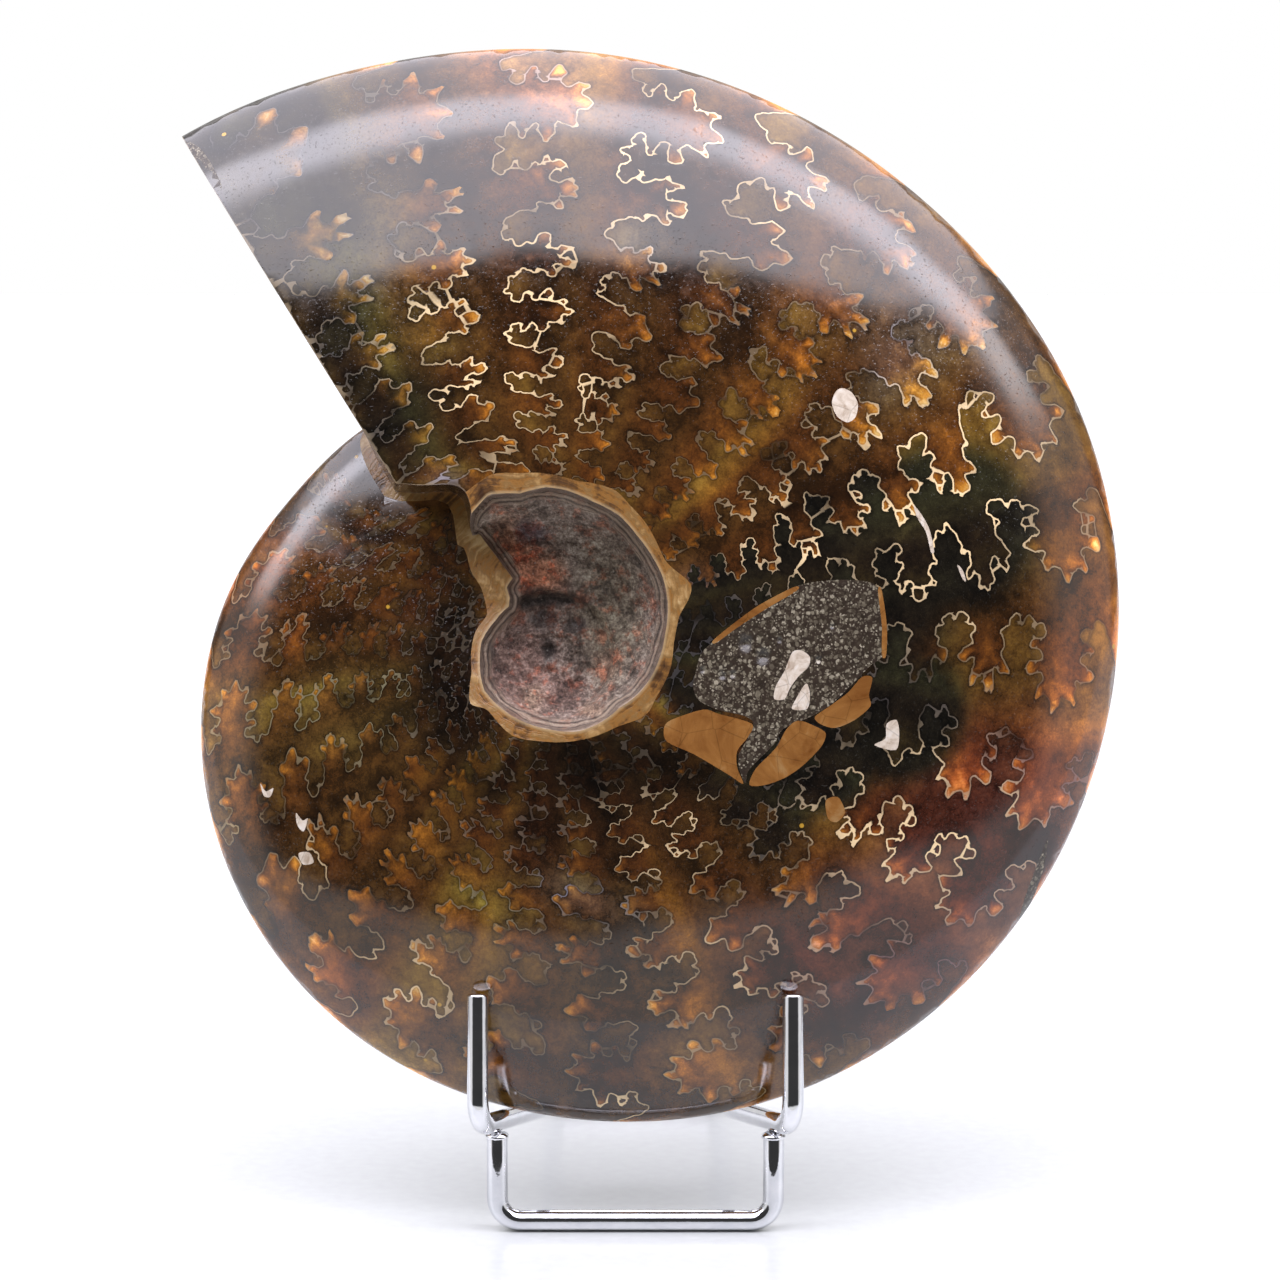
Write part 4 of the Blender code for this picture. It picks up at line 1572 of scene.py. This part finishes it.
def stone_material():
    """Polished brown calcite with glowing lobe tips and pale suture lines."""
    material, nodes = new_material("polished_fossil")
    where = nodes.place()
    line = nodes.attribute("line")
    mottle = nodes.noise(where, scale=0.5, detail=5.0, rough=0.68, distortion=0.3)
    body, tint = stone_body(nodes, where, mottle)
    body = nodes.tinted(body, nodes.fit(line, 0.10, 0.8, 0.5, 1.0))
    thread, strength = suture_mark(nodes, where, line, tint)
    colour = nodes.blend(strength, body, thread)
    dots = nodes.fit(nodes.cells(where, scale=0.085), 0.045, 0.030)
    colour = nodes.blend(dots, colour, DOT_GOLD)
    rough = nodes.fit(mottle, 0.3, 0.8, 0.07, 0.17)
    shader = paint(material, nodes, colour, rough, nodes.polish(where))
    shader.inputs["IOR"].default_value = 1.62
    return material


def band_material():
    """Worn shell round the sunk centre: tan and ochre, in thin layers that follow the rim."""
    material, nodes = new_material("shell_band")
    where = nodes.place()
    ring = nodes.attribute("ring")
    coarse = nodes.noise(where, scale=0.14, detail=3.0, rough=0.6, distortion=0.5)
    fine = nodes.noise(where, scale=1.1, detail=4.0, rough=0.7)
    stripes = nodes.stripes(nodes.scaled(ring, 1.3, nodes.times(coarse, 5.0)), detail=3.0)
    level = nodes.vary(0.52, stripes, 0.45)
    level = nodes.vary(level, fine, 0.42)
    level = nodes.vary(level, coarse, 1.5)
    lip = nodes.times(nodes.fit(ring, 0.7, 0.1), 0.55)
    colour = nodes.blend(lip, nodes.ramp(level, BAND_COLOURS), BAND_LIP)
    paint(material, nodes, colour, 0.30, nodes.bump(level, 0.5, 0.0005))
    return material


def gravel_material():
    """Sandy infill polished flat: pale and dark grains in brown cement."""
    material, nodes = new_material("gravel_infill")
    where = nodes.place()
    drift = nodes.add("ShaderNodeTexNoise", {"Vector": where, "Scale": 0.9}).outputs[1]
    bent = nodes.add("ShaderNodeVectorMath", {0: where, 1: drift}, operation="ADD").outputs[0]
    fewer = nodes.fit(nodes.noise(where, scale=0.10, detail=3.0), 0.30, 0.50, -0.30, 0.45)
    colour = nodes.blend(nodes.noise(where, scale=0.8, detail=4.0), *CEMENT)
    for scale, size, amount in ((1.15, 0.50, 0.85), (2.2, 0.46, 0.8)):
        away = nodes.cells(bent, scale)
        tone = nodes.add("ShaderNodeSeparateColor", {0: nodes.cells(bent, scale, "Color")}).outputs
        shown = nodes.calc("GREATER_THAN", nodes.calc("ADD", tone[1], fewer), 0.22)
        mask = nodes.times(nodes.fit(away, size, size - 0.12), shown)
        colour = nodes.blend(nodes.times(mask, amount), colour, nodes.ramp(tone[0], GRAIN_COLOURS))
    paint(material, nodes, colour, 0.30, nodes.bump(nodes.cells(bent, scale=1.2), 0.3, 0.0002))
    return material


def shard_material(name, colours, scale):
    """A shard of inner shell, cloudy and thinly cracked."""
    material, nodes = new_material(name)
    where = nodes.place()
    cloud = nodes.noise(where, scale=scale, detail=5.0, rough=0.65, distortion=0.8)
    cracks = nodes.fit(nodes.cells(where, 0.16, feature="DISTANCE_TO_EDGE"), 0.0, 0.02, 0.7, 1.0)
    colour = nodes.ramp(cloud, tuple(zip((0.30, 0.52, 0.72), colours)))
    paint(material, nodes, nodes.tinted(colour, cracks), 0.16, nodes.polish(where))
    return material


def matrix_body(nodes, where, fine):
    """The matrix's grey-brown: clumps, pores, rusty stains and the tint of each place, with painted shadow
    at the ledge and in the holes.
    """
    cloud = nodes.noise(where, scale=0.16, detail=4.0, rough=0.65, distortion=0.6)
    clump = nodes.noise(where, scale=0.5, detail=3.0, rough=0.6)
    level = nodes.vary(nodes.vary(cloud, fine, 1.5), clump, 0.9)
    pores = nodes.fit(nodes.cells(where, scale=1.3), 0.42, 0.20, 0.0, -0.22)
    level = nodes.calc("ADD", level, nodes.times(pores, nodes.fit(fine, 0.45, 0.55)))
    colour = nodes.ramp(level, MATRIX_COLOURS)
    stain = nodes.fit(nodes.noise(where, scale=0.30, detail=4.0, rough=0.7), 0.50, 0.64, 0.0, 0.75)
    colour = nodes.blend(stain, colour, nodes.tinted(colour, MATRIX_STAIN))
    return nodes.tinted(colour, nodes.attribute("tint", "Color"))


def wall_layers(nodes, where, ring):
    """The thin layers of shell along the sunk centre's rim, and how strongly they show."""
    wavy = nodes.times(nodes.noise(where, scale=0.2, detail=3.0), 4.0)
    stripes = nodes.stripes(nodes.scaled(ring, 2.6, wavy), detail=2.0)
    patchy = nodes.scaled(nodes.noise(where, scale=0.25, detail=3.0), 2.6, -1.3)
    shell = nodes.fit(nodes.calc("ADD", ring, patchy), 2.2, 1.3)
    return nodes.ramp(stripes, WALL_COLOURS), nodes.times(shell, 0.8)


def matrix_material():
    """Granular grey-brown matrix with glinting crystals, and layers of shell along its rim."""
    material, nodes = new_material("umbilical_matrix")
    where = nodes.place()
    fine = nodes.noise(where, scale=1.6, detail=5.0, rough=0.72)
    layers, share = wall_layers(nodes, where, nodes.attribute("ring"))
    colour = nodes.blend(share, matrix_body(nodes, where, fine), layers)
    chosen = nodes.calc("GREATER_THAN", nodes.noise(where, scale=0.7, detail=2.0), 0.52)
    glints = nodes.times(nodes.fit(nodes.cells(where, scale=1.1), 0.20, 0.08), chosen)
    colour = nodes.blend(nodes.times(glints, 0.6), colour, CRYSTAL)
    rugged = nodes.bump(fine, 1.0, 0.0006)
    rugged = nodes.bump(nodes.noise(where, scale=3.0, detail=3.0), 0.6, 0.0003, rugged)
    paint(material, nodes, colour, nodes.scaled(glints, -0.3, 0.42), rugged)
    return material


def mouth_material():
    """The cut mouth: dark polished infill inside a thin pale edge of shell."""
    material, nodes = new_material("cut_mouth")
    where = nodes.place()
    cloud = nodes.noise(where, scale=0.12, detail=4.0, rough=0.6, distortion=0.6)
    uneven = nodes.scaled(nodes.noise(where, scale=0.4, detail=2.0), 0.5, nodes.attribute("ring"))
    edge = nodes.fit(uneven, 1.15, 0.75)
    colour = nodes.blend(edge, nodes.ramp(cloud, MOUTH_COLOURS), MOUTH_EDGE)
    paint(material, nodes, colour, 0.18, nodes.polish(where))
    return material


def chrome_material():
    """Bright chrome plating with the faintest waves and wipe marks."""
    material, nodes = new_material("chrome_plate")
    where = nodes.place()
    smear = nodes.noise(where, scale=0.25, detail=3.0)
    waves = nodes.bump(nodes.noise(where, scale=0.5, detail=2.0), 0.12, 0.0002)
    rough = nodes.fit(smear, 0.35, 0.75, 0.035, 0.10)
    shader = paint(material, nodes, nodes.ramp(smear, CHROME_COLOURS), rough, waves)
    shader.inputs["Metallic"].default_value = 1.0
    return material


def from_cradle(x, v, w):
    """A point of the leaning cradle, v back and w up from the fossil's lowest edge, in upright axes."""
    y = v * math.cos(LEAN) + w * math.sin(LEAN)
    return Vector((x, y, EDGE_HEIGHT + w * math.cos(LEAN) - v * math.sin(LEAN)))


def rounded_path(corners, radius):
    """Straight runs between corners, with an arc at each inner corner."""
    points = [corners[0]]
    for before, corner, after in zip(corners, corners[1:], corners[2:]):
        way_in = (before - corner).normalized()
        way_out = (after - corner).normalized()
        half = way_in.angle(way_out) / 2
        reach = radius / math.tan(half)
        centre = corner + (way_in + way_out).normalized() * (radius / math.sin(half))
        start = (corner + way_in * reach - centre).normalized()
        end = (corner + way_out * reach - centre).normalized()
        points += [centre + start.slerp(end, i / BEND_STEPS) * radius for i in range(BEND_STEPS + 1)]
    points.append(corners[-1])
    return points


def rounded_end(tip, inner):
    """Rings of a rod's rounded end, from its tip inwards, as (centre, radius)."""
    inward = (inner - tip).normalized()
    turns = [math.radians(a) for a in END_TURNS_DEG]
    return [
        (tip + inward * END_ROUNDING * (1 - math.sin(a)), ROD_R - END_ROUNDING * (1 - math.cos(a)))
        for a in turns
    ]


def rod_rings(path):
    """Rings along a rod: its path with a small rounding at both ends, as (centre, radius)."""
    first = rounded_end(path[0], path[1])
    last = rounded_end(path[-1], path[-2])
    return first + [(p, ROD_R) for p in path[1:-1]] + last[::-1]


def rod_mesh(name, path, beads):
    """A smooth round rod along a path, with its weld beads."""
    rings = rod_rings(path)
    centres = [centre for centre, _ in rings]
    verts, faces = [], []
    side = None
    for i, (centre, radius) in enumerate(rings):
        ahead = (centres[min(i + 1, len(centres) - 1)] - centres[max(i - 1, 0)]).normalized()
        side = ahead.orthogonal() if side is None else side - ahead * side.dot(ahead)
        side.normalize()
        other = ahead.cross(side)
        for k in range(ROD_SIDES):
            a = TAU * k / ROD_SIDES
            verts.append(centre + (side * math.cos(a) + other * math.sin(a)) * radius)
    for row in range(0, len(verts) - ROD_SIDES, ROD_SIDES):
        above = row + ROD_SIDES
        for k, n in ring_edges(ROD_SIDES):
            faces.append((row + k, row + n, above + n, above + k))
    faces.append(tuple(range(ROD_SIDES))[::-1])
    faces.append(tuple(range(len(verts) - ROD_SIDES, len(verts))))
    for centre, size in beads:
        add_bead(verts, faces, centre, size)
    mesh = bpy.data.meshes.new(name)
    mesh.from_pydata(verts, [], faces)
    mesh.shade_smooth()
    return mesh


def bead_point(start, i, k):
    """The number of a bead's point in row i and column k."""
    if i == 0:
        return start
    if i == BEAD_ROWS:
        return start + 1 + (BEAD_ROWS - 1) * BEAD_COLUMNS
    return start + 1 + (i - 1) * BEAD_COLUMNS + k % BEAD_COLUMNS


def add_bead(verts, faces, centre, size):
    """A lumpy bead of weld metal."""
    start = len(verts)
    for i in range(BEAD_ROWS + 1):
        up = math.pi * i / BEAD_ROWS
        for k in range(BEAD_COLUMNS if 0 < i < BEAD_ROWS else 1):
            a = TAU * k / BEAD_COLUMNS
            way = Vector((math.sin(up) * math.cos(a), math.sin(up) * math.sin(a), math.cos(up)))
            lump = 1 + BEAD_LUMPS * noise.noise(way * BEAD_LUMP_SCALE + centre)
            verts.append(centre + way * Vector(size) * lump)
    for i in range(BEAD_ROWS):
        for k in range(BEAD_COLUMNS):
            corners = ((i, k), (i + 1, k), (i + 1, k + 1), (i, k + 1))
            faces.append(tuple(dict.fromkeys(bead_point(start, *corner) for corner in corners)))


def mirrored(corners):
    """The corners of the right half, then those of the left half in reverse."""
    return corners + [Vector((-p.x, p.y, p.z)) for p in reversed(corners)]


def both_sides(point, size):
    """A bead on each side."""
    return [(Vector((way * point.x, point.y, point.z)), size) for way in (-1, 1)]


def make_stand(chrome):
    """The three bent rods of the stand, round and smooth on the CAD rods' own paths."""
    cradle = [
        from_cradle(PRONG_X, PRONG_V, PRONG_TOP),
        from_cradle(PRONG_X, PRONG_V, ARM_W),
        from_cradle(BACK_X, BACK_V, ARM_W),
        from_cradle(BACK_X, BACK_V, BACK_TOP),
    ]
    arm = from_cradle(FOOT_X, 0, ARM_W).z - FOOT_Y * math.tan(LEAN)
    foot_top = arm - CAD_ROD_R / math.cos(LEAN) - CAD_ROD_R * math.tan(LEAN) - GAP
    foot = [Vector((FOOT_X, FOOT_Y, foot_top)), Vector((FOOT_X, FOOT_Y, ROD_R))]
    strut_top = from_cradle(BACK_X, BACK_V, STRUT_TOP_W)
    strut_foot = Vector((BACK_X, STRUT_FOOT_Y, ROD_R))
    slant = (strut_foot - strut_top).normalized()
    strut = [strut_top + Vector((0, STRUT_BEHIND, 0)) + slant * CAD_ROD_R, strut_foot]
    foot_beads = both_sides(Vector((FOOT_X, FOOT_Y, foot_top - FOOT_BEAD_DROP)), FOOT_BEAD)
    strut_beads = both_sides(strut[0] + Vector(STRUT_BEAD_SHIFT), STRUT_BEAD)
    rods = (
        ("cradle_rod", "cradle_wire", cradle, BEND_R, []),
        ("front_foot_rod", "front_foot", foot, FOOT_BEND_R, foot_beads),
        ("rear_strut_rod", "rear_strut", strut, BEND_R, strut_beads),
    )
    shift = Vector(spiral_centre()) - from_cradle(CENTRE_X, 0, CENTRE_TO_LOWEST)
    for name, node, corners, radius, beads in rods:
        mesh = rod_mesh(name, rounded_path(mirrored(corners), radius), beads)
        for vertex in mesh.vertices:
            vertex.co = (vertex.co + shift) * MM
        mesh.materials.append(chrome)
        rod = placed(name, mesh)
        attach(rod, "root")
        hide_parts(node)


def make_stage():
    """A plain white floor."""
    (left, right), (near, far) = FLOOR_X, FLOOR_Y
    mesh = bpy.data.meshes.new("floor")
    corners = [(left, near, 0), (right, near, 0), (right, far, 0), (left, far, 0)]
    mesh.from_pydata(corners, [], [(0, 1, 2, 3)])
    material, nodes = new_material("floor_white")
    paper = nodes.noise(nodes.place(), scale=0.4, detail=3.0)
    shader = paint(material, nodes, nodes.ramp(paper, FLOOR_COLOURS), 0.25)
    shader.inputs["Specular IOR Level"].default_value = 0.3
    mesh.materials.append(material)
    floor = placed("floor", mesh)
    floor.location.z = -FLOOR_DROP


def studio_light(nodes):
    """How bright and of what tint the studio is in each direction."""
    way = nodes.add("ShaderNodeTexCoord").outputs["Generated"]
    split = nodes.add("ShaderNodeSeparateXYZ", {0: way}).outputs
    height = nodes.calc("DEGREES", nodes.calc("ARCSINE", split[2]))
    ahead = nodes.times(split[1], -1.0)
    turn = nodes.calc("DEGREES", nodes.calc("ABSOLUTE", nodes.calc("ARCTAN2", split[0], ahead)))
    ceiling = nodes.fit(height, *CEILING_HEIGHT, 0.0, CEILING_LIGHT)
    level = nodes.calc("ADD", ceiling, nodes.fit(turn, *WALL_TURN, *WALL_LIGHT))
    lamp = nodes.times(nodes.fit(ahead, *LAMP_STARTS), nodes.fit(ahead, *LAMP_ENDS))
    lamp = nodes.times(lamp, nodes.fit(split[2], *LAMP_UP))
    level = nodes.scaled(lamp, LAMP_LIGHT, level)
    flag = nodes.times(nodes.fit(turn, *FLAG_STARTS), nodes.fit(turn, *FLAG_ENDS))
    flag = nodes.times(flag, nodes.fit(height, *FLAG_TOP))
    level = nodes.times(level, nodes.scaled(flag, FLAG_SHADE, 1.0))
    room = nodes.times(nodes.fit(turn, *ROOM_TURN), nodes.fit(height, *ROOM_TOP))
    room = nodes.times(room, nodes.fit(height, *ROOM_BOTTOM))
    level = nodes.times(level, nodes.scaled(room, -ROOM_SHADE, 1.0))
    return level, nodes.blend(nodes.fit(height, *TINT_HEIGHT), LOW_TINT, HIGH_TINT)


def make_world():
    """Soft studio light from all round and above, with a dark room behind the camera."""
    world = bpy.data.worlds.new("studio")
    bpy.context.scene.world = world
    world.use_nodes = True
    world.node_tree.nodes.clear()
    nodes = Nodes(world.node_tree)
    level, tint = studio_light(nodes)
    lit = nodes.add("ShaderNodeBackground", {"Color": tint, "Strength": level}).outputs[0]
    seen = nodes.add("ShaderNodeBackground", {"Color": (1, 1, 1), "Strength": 1.0}).outputs[0]
    camera = nodes.add("ShaderNodeLightPath").outputs["Is Camera Ray"]
    mixed = nodes.add("ShaderNodeMixShader", {0: camera, 1: lit, 2: seen}).outputs[0]
    nodes.add("ShaderNodeOutputWorld", {"Surface": mixed})


def make_camera():
    """The camera at the photograph's angle."""
    data = bpy.data.cameras.new("camera")
    data.sensor_width = CAMERA_SENSOR
    data.lens = CAMERA_LENS
    camera = placed("camera", data)
    back = Vector((0, -math.cos(CAMERA_ELEVATION), math.sin(CAMERA_ELEVATION)))
    camera.location = CAMERA_AIM + back * CAMERA_DISTANCE
    camera.rotation_euler = (-back).to_track_quat("-Z", "Y").to_euler()
    bpy.context.scene.camera = camera


def main():
    bpy.context.scene.view_settings.view_transform = "Standard"
    make_camera()
    make_world()
    make_stage()
    make_ammonite({
        "stone": stone_material(),
        "band": band_material(),
        "gravel": gravel_material(),
        "tan": shard_material("tan_shell", TAN_COLOURS, 0.11),
        "white": shard_material("white_shell", WHITE_COLOURS, 0.5),
        "matrix": matrix_material(),
        "mouth": mouth_material(),
    })
    make_stand(chrome_material())


main()
